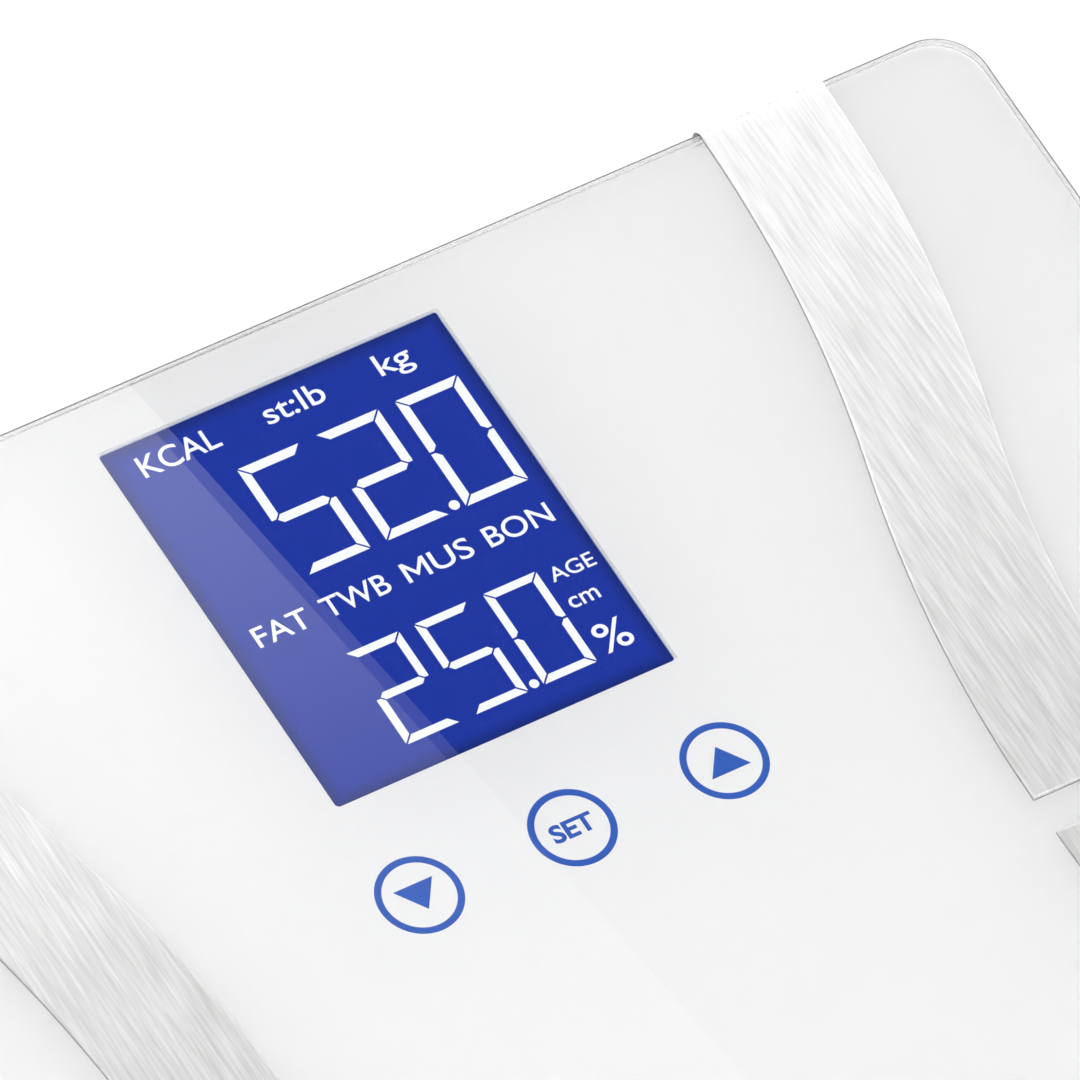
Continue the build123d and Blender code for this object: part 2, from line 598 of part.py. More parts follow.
def electrode_contact_springs():
    """Springs that carry each strip's signal to its lead."""
    flange_low = PRINT_Z - ELECTRODE_GLUE - ELECTRODE_THICKNESS
    springs = []
    for sx, sy in CORNERS.values():
        springs.append(coil_spring(1.8, 0.25, flange_low - 3.6, flange_low, 3, *contact_spot(sx, sy)))
    return Compound(springs)


def electrode_lead(sx, sy):
    """Thin lead from a strip's contact spring to the board."""
    x, y = contact_spot(sx, sy)
    high = PRINT_Z - ELECTRODE_GLUE - ELECTRODE_THICKNESS - 3.6 - THIN_LEAD_RADIUS
    low = COVER_FLOOR_Z + 1.4
    pad_z = BOARD_Z - THIN_LEAD_RADIUS
    run = [(x, y, high), (84 * sx, y, high), (62 * sx, y, high - 1)]
    if sy > 0:
        run += [(57 * sx, 128, pad_z), (44 * sx, 127, pad_z)]
    else:
        run += [
            (56 * sx, -118, low), (50 * sx, -80, low), (37 * sx, -30, low), (31 * sx, 6, low + 1),
            (30 * sx, 26, pad_z),
        ]
    return lead(run, THIN_LEAD_RADIUS, 3.0)


def battery_lead(sx):
    """Lead from the battery bay to the board."""
    exit_y = BAY_Y + BAY_DEPTH / 2
    pad_z = BOARD_Z - THIN_LEAD_RADIUS
    points = [
        (sx * 2.5, exit_y, 13.5), (sx * 2.5, exit_y + 7, 13.5), (sx * 4, 12, pad_z), (sx * 4, 28, pad_z),
    ]
    return lead(points, THIN_LEAD_RADIUS, 2.5)


def sub_parts():
    """Every node by name."""
    parts = {
        "glass_platform": glass_platform(),
        "white_back_print": back_print(),
        "key_legends": key_legends(),
        "electrode_adhesive": electrode_adhesive(),
        "bonding_tape": bonding_tape(),
        "top_tray": top_tray(),
        "bottom_cover": bottom_cover(),
        "cover_screws": cover_screws(),
        "rating_label": rating_label(),
        "display_frame": display_frame(),
        "main_board": main_board(),
        "board_screws": board_screws(),
        "board_chips": board_chips(),
        "lead_connectors": lead_connectors(),
        "unit_switch": unit_switch(),
        "unit_switch_plunger": unit_plunger(),
        "unit_button": unit_button(),
        "battery_door": battery_door(),
        "battery_springs": battery_springs(),
        "battery_contacts": battery_contacts(),
        "electrode_contact_springs": electrode_contact_springs(),
        "load_cell_screws": cell_screws(),
        "gauge_coatings": gauge_coatings(),
        "electrode_leads": Compound([electrode_lead(sx, sy) for sx, sy in CORNERS.values()]),
        "battery_leads": Compound([battery_lead(sx) for sx in (-1, 1)]),
    }
    parts.update(display_layers())
    for key, x in KEY_X.items():
        parts[f"touch_spring_{key}"] = touch_spring(x)
    for row in range(4):
        parts[f"battery_{row + 1}"] = battery(row)
    for corner, (sx, sy) in CORNERS.items():
        parts[f"electrode_{corner}"] = electrode(sx, sy)
        parts[f"load_cell_{corner}"] = load_cell(sx, sy)
        parts[f"load_cell_lead_{corner}"] = load_cell_lead(corner)
        parts[f"foot_cap_{corner}"] = foot_cap(sx, sy)
        parts[f"foot_pad_{corner}"] = foot_pad(sx, sy)
    return parts


os.makedirs("parts", exist_ok=True)
for node, shape in sub_parts().items():
    export_step(shape, f"parts/{node}.step")
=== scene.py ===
"""Looks of a glass-topped body scale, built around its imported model.

Lengths are in metres in the model's own frame: +X to the user's right, +Y from the heels
towards the display, +Z up, with the floor at zero.
"""

import logging
import math
from dataclasses import dataclass, field
from enum import Enum
from typing import Dict, Iterable, List, Optional, Sequence, Tuple, Union

import bmesh
import bpy
from mathutils import Matrix, Vector


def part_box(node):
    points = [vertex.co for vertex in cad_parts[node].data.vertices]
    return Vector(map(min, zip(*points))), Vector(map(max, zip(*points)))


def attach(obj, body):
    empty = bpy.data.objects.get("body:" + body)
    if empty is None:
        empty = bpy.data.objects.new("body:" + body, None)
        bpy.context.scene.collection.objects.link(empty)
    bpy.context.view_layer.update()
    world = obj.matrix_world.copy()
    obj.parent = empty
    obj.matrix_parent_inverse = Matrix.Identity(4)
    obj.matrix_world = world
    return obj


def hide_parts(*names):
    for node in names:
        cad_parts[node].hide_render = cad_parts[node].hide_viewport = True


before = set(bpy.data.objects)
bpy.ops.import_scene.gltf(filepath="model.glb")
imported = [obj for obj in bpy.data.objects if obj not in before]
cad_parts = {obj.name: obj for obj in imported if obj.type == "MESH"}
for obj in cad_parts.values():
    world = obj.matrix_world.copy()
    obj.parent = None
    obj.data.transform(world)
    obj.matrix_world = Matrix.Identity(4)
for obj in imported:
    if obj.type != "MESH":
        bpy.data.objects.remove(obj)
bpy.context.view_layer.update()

LOG = logging.getLogger("body_scale")
MM = 0.001
SAME_HEIGHT = 1e-6
PLATFORM = "platform"
CORNER_SIGNS = {"toe_left": (-1, 1), "toe_right": (1, 1), "heel_left": (-1, -1), "heel_right": (1, -1)}

Colour = Tuple[float, float, float]
Point = Tuple[float, float]
Number = Union[float, "Link"]


# ---------------------------------------------------------------- shader tools


class Link:
    """An output socket that takes part in arithmetic, adding a Math node for each sign."""

    def __init__(self, tree: bpy.types.NodeTree, socket: bpy.types.NodeSocket) -> None:
        """Keeps the node tree and the socket.

        Args:
            tree: the tree that new nodes go into.
            socket: the output that this object stands for.
        """
        self.tree = tree
        self.socket = socket

    def _math(self, operation: str, first: Number, second: Number, clamp: bool = False) -> "Link":
        """Adds a Math node.

        Args:
            operation: the node's operation.
            first: the first operand.
            second: the second operand.
            clamp: whether the result is held between 0 and 1.

        Returns:
            The node's output.
        """
        node = self.tree.nodes.new("ShaderNodeMath")
        node.operation = operation
        node.use_clamp = clamp
        for index, value in enumerate((first, second)):
            if isinstance(value, Link):
                self.tree.links.new(value.socket, node.inputs[index])
            else:
                node.inputs[index].default_value = value
        return Link(self.tree, node.outputs[0])

    def __add__(self, other: Number) -> "Link":
        """Sum with the link first."""
        return self._math("ADD", self, other)

    def __radd__(self, other: Number) -> "Link":
        """Sum with the link last."""
        return self._math("ADD", other, self)

    def __sub__(self, other: Number) -> "Link":
        """Difference with the link first."""
        return self._math("SUBTRACT", self, other)

    def __rsub__(self, other: Number) -> "Link":
        """Difference with the link last."""
        return self._math("SUBTRACT", other, self)

    def __mul__(self, other: Number) -> "Link":
        """Product with the link first."""
        return self._math("MULTIPLY", self, other)

    def __rmul__(self, other: Number) -> "Link":
        """Product with the link last."""
        return self._math("MULTIPLY", other, self)

    def __truediv__(self, other: Number) -> "Link":
        """Quotient with the link first."""
        return self._math("DIVIDE", self, other)

    def __abs__(self) -> "Link":
        """Size without its sign."""
        return self._math("ABSOLUTE", self, 0.0)

    def at_most(self, other: Number) -> "Link":
        """The smaller of the two."""
        return self._math("MINIMUM", self, other)

    def at_least(self, other: Number) -> "Link":
        """The larger of the two."""
        return self._math("MAXIMUM", self, other)

    def ease(self, low: float, high: float) -> "Link":
        """Straight rise from 0 at low to 1 at high, held at its ends.

        Args:
            low: where the rise starts.
            high: where it ends.

        Returns:
            The eased value.
        """
        return (self - low)._math("DIVIDE", self - low, high - low, clamp=True)


class Recipe:
    """One material's node tree, written as expressions."""

    def __init__(self, name: str) -> None:
        """Starts an empty material.

        Args:
            name: the material's name.
        """
        self.material = bpy.data.materials.new(name)
        self.material.use_nodes = True
        self.tree = self.material.node_tree
        self.tree.nodes.clear()

    def node(
        self,
        kind: str,
        settings: Optional[Dict[str, object]] = None,
        inputs: Optional[Dict[Union[str, int], object]] = None,
        output: Union[str, int] = 0,
    ) -> Link:
        """Adds any node.

        Args:
            kind: the node's type.
            settings: attributes to set first; "stops" holds a ramp's places and colours.
            inputs: values or links by socket.
            output: the output that is wanted.

        Returns:
            That output.
        """
        node = self.tree.nodes.new(kind)
        for key, value in (settings or {}).items():
            if key == "stops":
                self._set_stops(node, value)
            else:
                setattr(node, key, value)
        for key, value in (inputs or {}).items():
            if isinstance(value, Link):
                self.tree.links.new(value.socket, node.inputs[key])
            else:
                node.inputs[key].default_value = value
        return Link(self.tree, node.outputs[output])

    @staticmethod
    def _set_stops(node: bpy.types.Node, stops: Sequence[Tuple[float, Colour]]) -> None:
        """Sets a ramp's stops.

        Args:
            node: the ramp.
            stops: place and colour of each stop.
        """
        elements = node.color_ramp.elements
        while len(elements) < len(stops):
            elements.new(1.0)
        for element, (place, colour) in zip(elements, stops):
            element.position = place
            element.color = (*colour, 1.0)

    def object_place(self) -> Link:
        """Object coordinates of the shaded point."""
        return self.node("ShaderNodeTexCoord", output="Object")

    def axes(self) -> Tuple[Link, Link, Link]:
        """Object coordinates as three numbers, in metres."""
        split = self.node("ShaderNodeSeparateXYZ", inputs={0: self.object_place()}).socket.node
        return tuple(Link(self.tree, split.outputs[index]) for index in range(3))

    def noise(self, scale: float, detail: float = 2.0, stretch: Sequence[float] = (1.0, 1.0, 1.0)) -> Link:
        """Noise between 0 and 1 on Object coordinates.

        Args:
            scale: cells for each metre.
            detail: how many octaves are added.
            stretch: how much the pattern is squeezed along X, Y and Z.

        Returns:
            The noise value.
        """
        place = self.node("ShaderNodeMapping", inputs={"Vector": self.object_place(), "Scale": stretch})
        inputs = {"Vector": place, "Scale": scale, "Detail": detail, "Roughness": 0.55}
        return self.node("ShaderNodeTexNoise", inputs=inputs)

    def mix(self, factor: Number, first: Union[Colour, Link], second: Union[Colour, Link]) -> Link:
        """Blend of two colours.

        Args:
            factor: 0 for the first colour, 1 for the second.
            first: a colour.
            second: a colour.

        Returns:
            The blended colour.
        """
        inputs = {"Factor": factor}
        for socket, colour in ((6, first), (7, second)):
            inputs[socket] = colour if isinstance(colour, Link) else (*colour, 1.0)
        return self.node("ShaderNodeMix", {"data_type": "RGBA"}, inputs, output=2)

    def bump(self, height: Link, depth: float, strength: float = 1.0) -> Link:
        """Normal tilted by a height.

        Args:
            height: height between 0 and 1.
            depth: how far 1 stands above 0, in metres.
            strength: share of the tilt that is used.

        Returns:
            The tilted normal.
        """
        return self.node("ShaderNodeBump", None, {"Height": height, "Distance": depth, "Strength": strength})

    def surface(self, **inputs: object) -> bpy.types.Material:
        """Closes the recipe with a Principled shader.

        Args:
            inputs: its sockets by name, with underscores for spaces.

        Returns:
            The finished material.
        """
        named = {key.replace("_", " "): value for key, value in inputs.items()}
        shader = self.node("ShaderNodeBsdfPrincipled", None, named)
        output = self.tree.nodes.new("ShaderNodeOutputMaterial")
        self.tree.links.new(shader.socket, output.inputs["Surface"])
        return self.material


# ---------------------------------------------------------------- finishes


@dataclass(frozen=True)
class Finish:
    """A finish that is made once and shared by the pieces that wear it."""

    name: str

    def recipe(self) -> bpy.types.Material:
        """Builds the material; each family of finishes says how."""
        raise NotImplementedError(self.name)

    def material(self) -> bpy.types.Material:
        """The finish's material, made when it is first asked for."""
        known = bpy.data.materials.get(self.label)
        return known if known is not None else self.recipe()

    @property
    def label(self) -> str:
        """Name of the finish's material, apart from the frame's own materials."""
        return f"{self.name}_look"


@dataclass(frozen=True)
class MouldedPlastic(Finish):
    """Injection-moulded plastic with a spark-eroded grain."""

    colour: Colour
    roughness: float = 0.5
    grain: float = 900.0
    grain_depth: float = 0.00002

    def recipe(self) -> bpy.types.Material:
        """Colour that clouds a little, with a fine grain in the surface."""
        make = Recipe(self.label)
        cloud = make.noise(22.0, detail=3.0)
        grain = make.noise(self.grain, detail=1.0)
        lighter = tuple(min(1.0, channel * 1.04 + 0.004) for channel in self.colour)
        darker = tuple(channel * 0.95 for channel in self.colour)
        return make.surface(
            Base_Color=make.mix(cloud, darker, lighter),
            Roughness=self.roughness - 0.05 + 0.1 * grain,
            Normal=make.bump(grain, self.grain_depth, 0.6),
        )


@dataclass(frozen=True)
class BrushedSteel(Finish):
    """Stainless sheet with a straight brushed grain along Y."""

    dark: Colour = (0.44, 0.44, 0.437)
    light: Colour = (0.91, 0.91, 0.906)
    # dark cut sides: partly their duller cut finish, partly a painted contact shadow
    edge: Colour = (0.16, 0.16, 0.162)
    # painted reflection: the base tone near the plate's middle and at the strip's outer end, and where along
    # Y it rises
    tone: Point = (0.55, 0.98)
    run: Point = (0.02, 0.155)
    fine: float = 1.0
    coarse: float = 0.22
    roughness: float = 0.32

    def recipe(self) -> bpy.types.Material:
        """Streaks of two widths; a painted reflection lightens each strip towards its outer end, and the cut
        sides are dark, partly from their duller cut finish and partly from a painted contact shadow.
        """
        make = Recipe(self.label)
        fine = make.noise(1.0, detail=3.0, stretch=(1600.0, 75.0, 1600.0))
        coarse = make.noise(1.0, detail=2.0, stretch=(420.0, 7.0, 420.0))
        # painted reflection: the strip's base tone rises towards its outer end
        rise = abs(make.axes()[1]).ease(*self.run)
        base = self.tone[0] + (self.tone[1] - self.tone[0]) * rise
        tone = (base + self.fine * (fine - 0.5) + self.coarse * (coarse - 0.5)).at_most(1.0).at_least(0.0)
        # painted shade: faces that stand near upright turn to the dark edge colour, in place of a contact
        # shadow
        normal = make.node("ShaderNodeNewGeometry", output="Normal")
        flat = abs(make.node("ShaderNodeSeparateXYZ", inputs={0: normal}, output=2)).ease(0.05, 0.35)
        return make.surface(
            Base_Color=make.mix(flat, self.edge, make.mix(tone, self.dark, self.light)),
            Metallic=0.82,
            Roughness=self.roughness - 0.06 + 0.12 * fine,
            Normal=make.bump(fine, 0.000015, 0.5),
        )


@dataclass(frozen=True)
class PlatedMetal(Finish):
    """Plated or rolled metal with faint handling marks."""

    colour: Colour
    roughness: float = 0.25

    def recipe(self) -> bpy.types.Material:
        """Metal whose tone and roughness cloud slightly."""
        make = Recipe(self.label)
        cloud = make.noise(160.0, detail=3.0)
        darker = tuple(channel * 0.86 for channel in self.colour)
        return make.surface(
            Base_Color=make.mix(cloud, darker, self.colour),
            Metallic=1.0,
            Roughness=self.roughness + 0.14 * (cloud - 0.5),
            Normal=make.bump(cloud, 0.00001, 0.4),
        )


@dataclass(frozen=True)
class SoftRubber(Finish):
    """Matt elastomer with a dusty bloom."""

    colour: Colour
    roughness: float = 0.72

    def recipe(self) -> bpy.types.Material:
        """Dusty tone and a fine dimpled skin."""
        make = Recipe(self.label)
        dust = make.noise(70.0, detail=4.0)
        skin = make.noise(1500.0, detail=1.0)
        dusty = tuple(channel * 0.8 + 0.035 for channel in self.colour)
        return make.surface(
            Base_Color=make.mix(dust, self.colour, dusty),
            Roughness=self.roughness + 0.12 * (dust - 0.5),
            Normal=make.bump(skin, 0.00002, 0.6),
        )


@dataclass(frozen=True)
class PrintedFilm(Finish):
    """Ink or thin film, nearly smooth."""

    colour: Colour
    roughness: float = 0.45
    shine: float = 0.5

    def recipe(self) -> bpy.types.Material:
        """Even colour with the slight mottle of a screen print."""
        make = Recipe(self.label)
        mottle = make.noise(320.0, detail=2.0)
        lighter = tuple(min(1.0, channel * 1.012) for channel in self.colour)
        darker = tuple(channel * 0.988 for channel in self.colour)
        return make.surface(
            Base_Color=make.mix(mottle, darker, lighter),
            Roughness=self.roughness + 0.06 * (mottle - 0.5),
            Specular_IOR_Level=self.shine,
        )


@dataclass(frozen=True)
class ToughenedGlass(Finish):
    """Clear plate glass, polished on its faces and satin from grinding on its arrises, where a painted grey
    shade draws a dark outline.
    """

    clear: Colour = (0.997, 0.999, 0.998)
    # painted shade: dark grey colour of the upper arris, drawn as an outline
    arris_shade: Colour = (0.035, 0.038, 0.036)
    satin: float = 0.25
    arris: Tuple[float, float, float, float] = (0.20, 0.35, 0.93, 0.98)
    arris_from: Point = (22.2 * MM, 22.5 * MM)

    def recipe(self) -> bpy.types.Material:
        """Clear on the faces and the middle of the edge, with painted grey shade on the upper turn between
        them.
        """
        make = Recipe(self.label)
        normal = make.node("ShaderNodeNewGeometry", output="Normal")
        upright = make.node("ShaderNodeSeparateXYZ", inputs={0: normal}, output=2)
        flat = abs(upright)
        # painted shade: the upper arris, between the faces and the edge's middle, takes the dark grey colour
        tilted = flat.ease(*self.arris[:2]) - flat.ease(*self.arris[2:])
        turn = tilted * make.axes()[2].ease(*self.arris_from)
        wave = make.noise(9.0, detail=1.0)
        return make.surface(
            Base_Color=make.mix(turn, self.clear, self.arris_shade),
            Transmission_Weight=1.0,
            IOR=1.5,
            Roughness=(1.0 - flat.ease(0.90, 0.995)) * self.satin,
            Normal=make.bump(wave, 0.00002, 0.3),
        )


@dataclass(frozen=True)
class ClearFilm(Finish):
    """Clear acrylic glue."""

    tint: Colour = (0.95, 0.95, 0.945)
    cover: float = 0.04

    def recipe(self) -> bpy.types.Material:
        """Clear, with a faint ripple."""
        make = Recipe(self.label)
        ripple = make.noise(40.0)
        return make.surface(
            Base_Color=(*self.tint, 1.0), Alpha=self.cover, Roughness=0.3,
            Normal=make.bump(ripple, 0.00001, 0.2),
        )


@dataclass(frozen=True)
class DisplayGlow(Finish):
    """Lit blue face of a negative segment display."""

    middle: Point
    half: Point
    glow: Colour = (0.0075, 0.031, 0.338)
    rim: Colour = (0.004, 0.016, 0.150)
    fade: float = 0.0030

    def recipe(self) -> bpy.types.Material:
        """Even light that fades into the frame's shadow along the borders."""
        make = Recipe(self.label)
        across, along, _ = make.axes()
        side = self.half[0] - abs(across - self.middle[0])
        end = self.half[1] - abs(along - self.middle[1])
        inset = side.at_most(end).ease(0.0, self.fade)
        patch = make.noise(30.0, detail=1.0)
        lit = (inset - 0.05 * patch).at_least(0.0)
        return make.surface(
            Base_Color=(0.004, 0.008, 0.05, 1.0),
            Roughness=0.4,
            Specular_IOR_Level=0.0,
            Emission_Color=make.mix(lit, self.rim, self.glow),
            Emission_Strength=1.0,
        )


@dataclass(frozen=True)
class SegmentGlow(Finish):
    """Clear segment or legend that the backlight shines through."""

    glow: Colour = (1.0, 1.03, 1.08)

    def recipe(self) -> bpy.types.Material:
        """White light with a faint cell texture."""
        make = Recipe(self.label)
        cell = make.noise(900.0, detail=1.0)
        dimmer = tuple(channel * 0.96 for channel in self.glow)
        return make.surface(
            Base_Color=(0.05, 0.05, 0.07, 1.0),
            Roughness=0.5,
            Specular_IOR_Level=0.0,
            Emission_Color=make.mix(cell, dimmer, self.glow),
            Emission_Strength=1.0,
        )


@dataclass(frozen=True)
class BatteryWrap(Finish):
    """Printed sleeve of a dry cell: a plain band at one end of each."""

    body: Colour = (0.06, 0.10, 0.17)
    band: Colour = (0.62, 0.36, 0.05)
    band_from: float = 0.012

    def recipe(self) -> bpy.types.Material:
        """Two sleeve colours that meet at a sharp line across the cell."""
        make = Recipe(self.label)
        across = make.axes()[0]
        scuff = make.noise(240.0, detail=3.0)
        banded = across.ease(self.band_from, self.band_from + 0.0002)
        return make.surface(
            Base_Color=make.mix(banded, self.body, self.band),
            Metallic=0.55,
            Roughness=0.28 + 0.14 * scuff,
        )


WHITE_SHELL = MouldedPlastic("white_shell", (0.62, 0.62, 0.615), roughness=0.48)
WHITE_FRAME = MouldedPlastic("white_frame", (0.95, 0.95, 0.955), roughness=0.35, grain_depth=0.000005)
FOOT_PLASTIC = MouldedPlastic("foot_plastic", (0.62, 0.63, 0.64), roughness=0.45)
BUTTON_GREY = MouldedPlastic("button_grey", (0.26, 0.27, 0.29), roughness=0.4)
STEEL_STRIP = BrushedSteel("brushed_steel")
ZINC = PlatedMetal("zinc_steel", (0.74, 0.75, 0.77), roughness=0.28)
NICKEL = PlatedMetal("spring_steel", (0.78, 0.76, 0.72), roughness=0.2)
CELL_STEEL = PlatedMetal("cell_steel", (0.60, 0.61, 0.62), roughness=0.34)
PAD_RUBBER = SoftRubber("pad_rubber", (0.10, 0.103, 0.108))
WHITE_PRINT = PrintedFilm("white_print", (0.935, 0.935, 0.935), shine=0.0)
BLUE_PRINT = PrintedFilm("blue_print", (0.044, 0.128, 0.53), shine=0.0)
LABEL_FILM = PrintedFilm("label_film", (0.62, 0.63, 0.65), roughness=0.3)
GLASS = ToughenedGlass("clear_glass")
SEGMENT = SegmentGlow("segment_light")

INSIDE_FINISHES: Dict[str, Tuple[Finish, Tuple[str, ...]]] = {
    "glue": (ClearFilm("glue_film"), ("electrode_adhesive",)),
    "tape": (SoftRubber("foam_tape", (0.72, 0.72, 0.70)), ("bonding_tape",)),
    "film": (PrintedFilm("polarizer_film", (0.04, 0.05, 0.14), 0.15), ("rear_polarizer",)),
    "light": (PrintedFilm("light_plate", (0.70, 0.80, 0.92), 0.08), ("light_guide", "lcd_panel")),
    "mirror": (PlatedMetal("mirror_film", (0.93, 0.93, 0.93), 0.12), ("backlight_reflector",)),
    "leds": (MouldedPlastic("led_tape", (0.86, 0.85, 0.78)), ("backlight_strip",)),
    "zebra": (SoftRubber("connector_rubber", (0.72, 0.36, 0.46)), ("zebra_connector",)),
    "board": (MouldedPlastic("board_green", (0.02, 0.16, 0.07), 0.3), ("main_board",)),
    "chips": (MouldedPlastic("chip_black", (0.025, 0.025, 0.027), 0.55), ("board_chips", "unit_switch")),
    "sockets": (MouldedPlastic("socket_white", (0.80, 0.79, 0.72)), ("lead_connectors",)),
    "plunger": (BUTTON_GREY, ("unit_switch_plunger",)),
    "springs": (
        NICKEL,
        (
            "battery_springs", "battery_contacts", "electrode_contact_springs",
            "touch_spring_down", "touch_spring_set", "touch_spring_up",
        ),
    ),
    "screws": (ZINC, ("load_cell_screws", "board_screws")),
    "cells": (CELL_STEEL, tuple(f"load_cell_{corner}" for corner in CORNER_SIGNS)),
    "silicone": (SoftRubber("silicone", (0.80, 0.80, 0.78), 0.5), ("gauge_coatings",)),
    "cell_leads": (
        SoftRubber("lead_black", (0.03, 0.03, 0.032), 0.5),
        tuple(f"load_cell_lead_{corner}" for corner in CORNER_SIGNS),
    ),
    "thin_leads": (SoftRubber("lead_white", (0.78, 0.78, 0.76), 0.5), ("electrode_leads",)),
    "battery_leads": (SoftRubber("lead_red", (0.50, 0.03, 0.025), 0.5), ("battery_leads",)),
}


# ---------------------------------------------------------------- mesh tools


class Workshop:
    """Mesh operations that the sub-assemblies share."""

    @staticmethod
    def bevel(bm: bmesh.types.BMesh, edges: Iterable, offset: float, segments: int) -> None:
        """Rounds some edges.

        Args:
            bm: the mesh.
            edges: the edges to round.
            offset: distance of the round's border from the edge.
            segments: facets across the round.
        """
        bmesh.ops.bevel(
            bm, geom=list(edges), offset=offset, offset_type="OFFSET", segments=segments,
            profile=0.5, affect="EDGES", material=-1,
        )

    @staticmethod
    def edges_at(bm: bmesh.types.BMesh, height: float) -> List:
        """Edges of the outline that lie at one height.

        Args:
            bm: the mesh.
            height: the Z that both ends have.

        Returns:
            The edges whose two faces aren't both flat at that height.
        """
        found = []
        for edge in bm.edges:
            level = all(abs(vert.co.z - height) < 1e-7 for vert in edge.verts)
            if level and any(abs(face.normal.z) < 0.5 for face in edge.link_faces):
                found.append(edge)
        return found

    @staticmethod
    def rounded_face(bm: bmesh.types.BMesh, width: float, depth: float, corner: float, steps: int) -> None:
        """Flat rectangle with rounded corners, facing up at height zero.

        Args:
            bm: the empty mesh.
            width: size along X.
            depth: size along Y.
            corner: corner radius, or 0.
            steps: facets in each corner.
        """
        bmesh.ops.create_grid(bm, x_segments=1, y_segments=1, size=0.5)
        bmesh.ops.scale(bm, verts=bm.verts, vec=(width, depth, 1.0))
        if corner > 0:
            bmesh.ops.bevel(
                bm, geom=list(bm.verts), offset=corner, offset_type="OFFSET", segments=steps,
                profile=0.5, affect="VERTICES", material=-1,
            )

    @staticmethod
    def thicken(bm: bmesh.types.BMesh, low: float, high: float) -> None:
        """Turns a flat face at height zero into a closed plate between two heights.

        Args:
            bm: the mesh with the flat face.
            low: the plate's lower height.
            high: its upper height.
        """
        grown = bmesh.ops.extrude_face_region(bm, geom=list(bm.faces))
        top = [item for item in grown["geom"] if isinstance(item, bmesh.types.BMVert)]
        bottom = [vert for vert in bm.verts if vert not in set(top)]
        bmesh.ops.translate(bm, verts=bottom, vec=(0, 0, low))
        bmesh.ops.translate(bm, verts=top, vec=(0, 0, high))
        bmesh.ops.recalc_face_normals(bm, faces=bm.faces)

    @staticmethod
    def plate(width: float, depth: float, low: float, high: float, corner: float = 0.0,
              middle: Point = (0.0, 0.0), steps: int = 8) -> bmesh.types.BMesh:
        """Closed plate with rounded corners.

        Args:
            width: size along X.
            depth: size along Y.
            low: lower height.
            high: upper height.
            corner: corner radius.
            middle: its centre in plan.
            steps: facets in each corner.

        Returns:
            A new mesh.
        """
        bm = bmesh.new()
        Workshop.rounded_face(bm, width, depth, corner, steps)
        Workshop.thicken(bm, low, high)
        bmesh.ops.translate(bm, verts=bm.verts, vec=(middle[0], middle[1], 0.0))
        return bm

    @staticmethod
    def outline(points: Sequence[Point], low: float, high: float) -> bmesh.types.BMesh:
        """Closed plate over a flat outline.

        Args:
            points: the outline's corners in plan.
            low: lower height.
            high: upper height.

        Returns:
            A new mesh.
        """
        bm = bmesh.new()
        verts = [bm.verts.new((x, y, 0.0)) for x, y in points]
        bm.faces.new(verts)
        Workshop.thicken(bm, low, high)
        return bm

    @staticmethod
    def turned(
        profile: Sequence[Point], middle: Tuple[float, float, float], steps: int = 64,
    ) -> bmesh.types.BMesh:
        """Solid of revolution about an upright axis.

        Args:
            profile: radius and height of each point, from axis to axis.
            middle: the axis's place; its height is added to the profile's.
            steps: facets round the axis.

        Returns:
            A new mesh.
        """
        bm = bmesh.new()
        verts = [bm.verts.new((radius, 0.0, height)) for radius, height in profile]
        edges = [bm.edges.new(pair) for pair in zip(verts, verts[1:])]
        bmesh.ops.spin(
            bm, geom=verts + edges, cent=(0, 0, 0), axis=(0, 0, 1), angle=2 * math.pi,
            steps=steps, use_merge=True,
        )
        bmesh.ops.remove_doubles(bm, verts=bm.verts, dist=1e-7)
        bmesh.ops.recalc_face_normals(bm, faces=bm.faces)
        bmesh.ops.translate(bm, verts=bm.verts, vec=middle)
        return bm

    @staticmethod
    def merged_copy(node: str) -> bmesh.types.BMesh:
        """Copy of a CAD node's mesh, with its loose triangles joined into clean faces.

        Args:
            node: the CAD node.

        Returns:
            A new mesh.
        """
        bm = bmesh.new()
        bm.from_mesh(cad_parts[node].data)
        bmesh.ops.remove_doubles(bm, verts=bm.verts, dist=2e-6)
        bmesh.ops.dissolve_limit(bm, angle_limit=math.radians(0.6), verts=bm.verts, edges=bm.edges)
        return bm

    @staticmethod
    def place(bm: bmesh.types.BMesh, name: str, finish: Finish, slot: str, body: str = PLATFORM,
              replaces: Sequence[str] = (), round_edges: float = 0.0,
              smooth_from: float = 32.0) -> bpy.types.Object:
        """Turns a mesh into a finished piece of the object.

        Args:
            bm: the mesh, which is freed.
            name: the piece's name.
            finish: what it wears.
            slot: the record's material slot; not used.
            body: the body that it rides on.
            replaces: the CAD nodes that it stands for.
            round_edges: radius of a bevel on its sharp edges, or 0.
            smooth_from: angle in degrees from which an edge stays sharp.

        Returns:
            The new object.
        """
        mesh = bpy.data.meshes.new(name)
        bm.to_mesh(mesh)
        bm.free()
        mesh.shade_smooth()
        piece = bpy.data.objects.new(name, mesh)
        bpy.context.scene.collection.objects.link(piece)
        if round_edges > 0:
            Workshop.modify(
                piece, "BEVEL", width=round_edges, segments=2, limit_method="ANGLE",
                angle_limit=math.radians(40),
            )
        piece.data.set_sharp_from_angle(angle=math.radians(smooth_from))
        Workshop.modify(piece, "WEIGHTED_NORMAL", mode="FACE_AREA", weight=50, keep_sharp=True)
        piece.data.materials.clear()
        piece.data.materials.append(finish.material())
        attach(piece, body)
        if replaces:
            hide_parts(*replaces)
        LOG.info("%s rides on %s with %d faces", name, body, len(piece.data.polygons))
        return piece

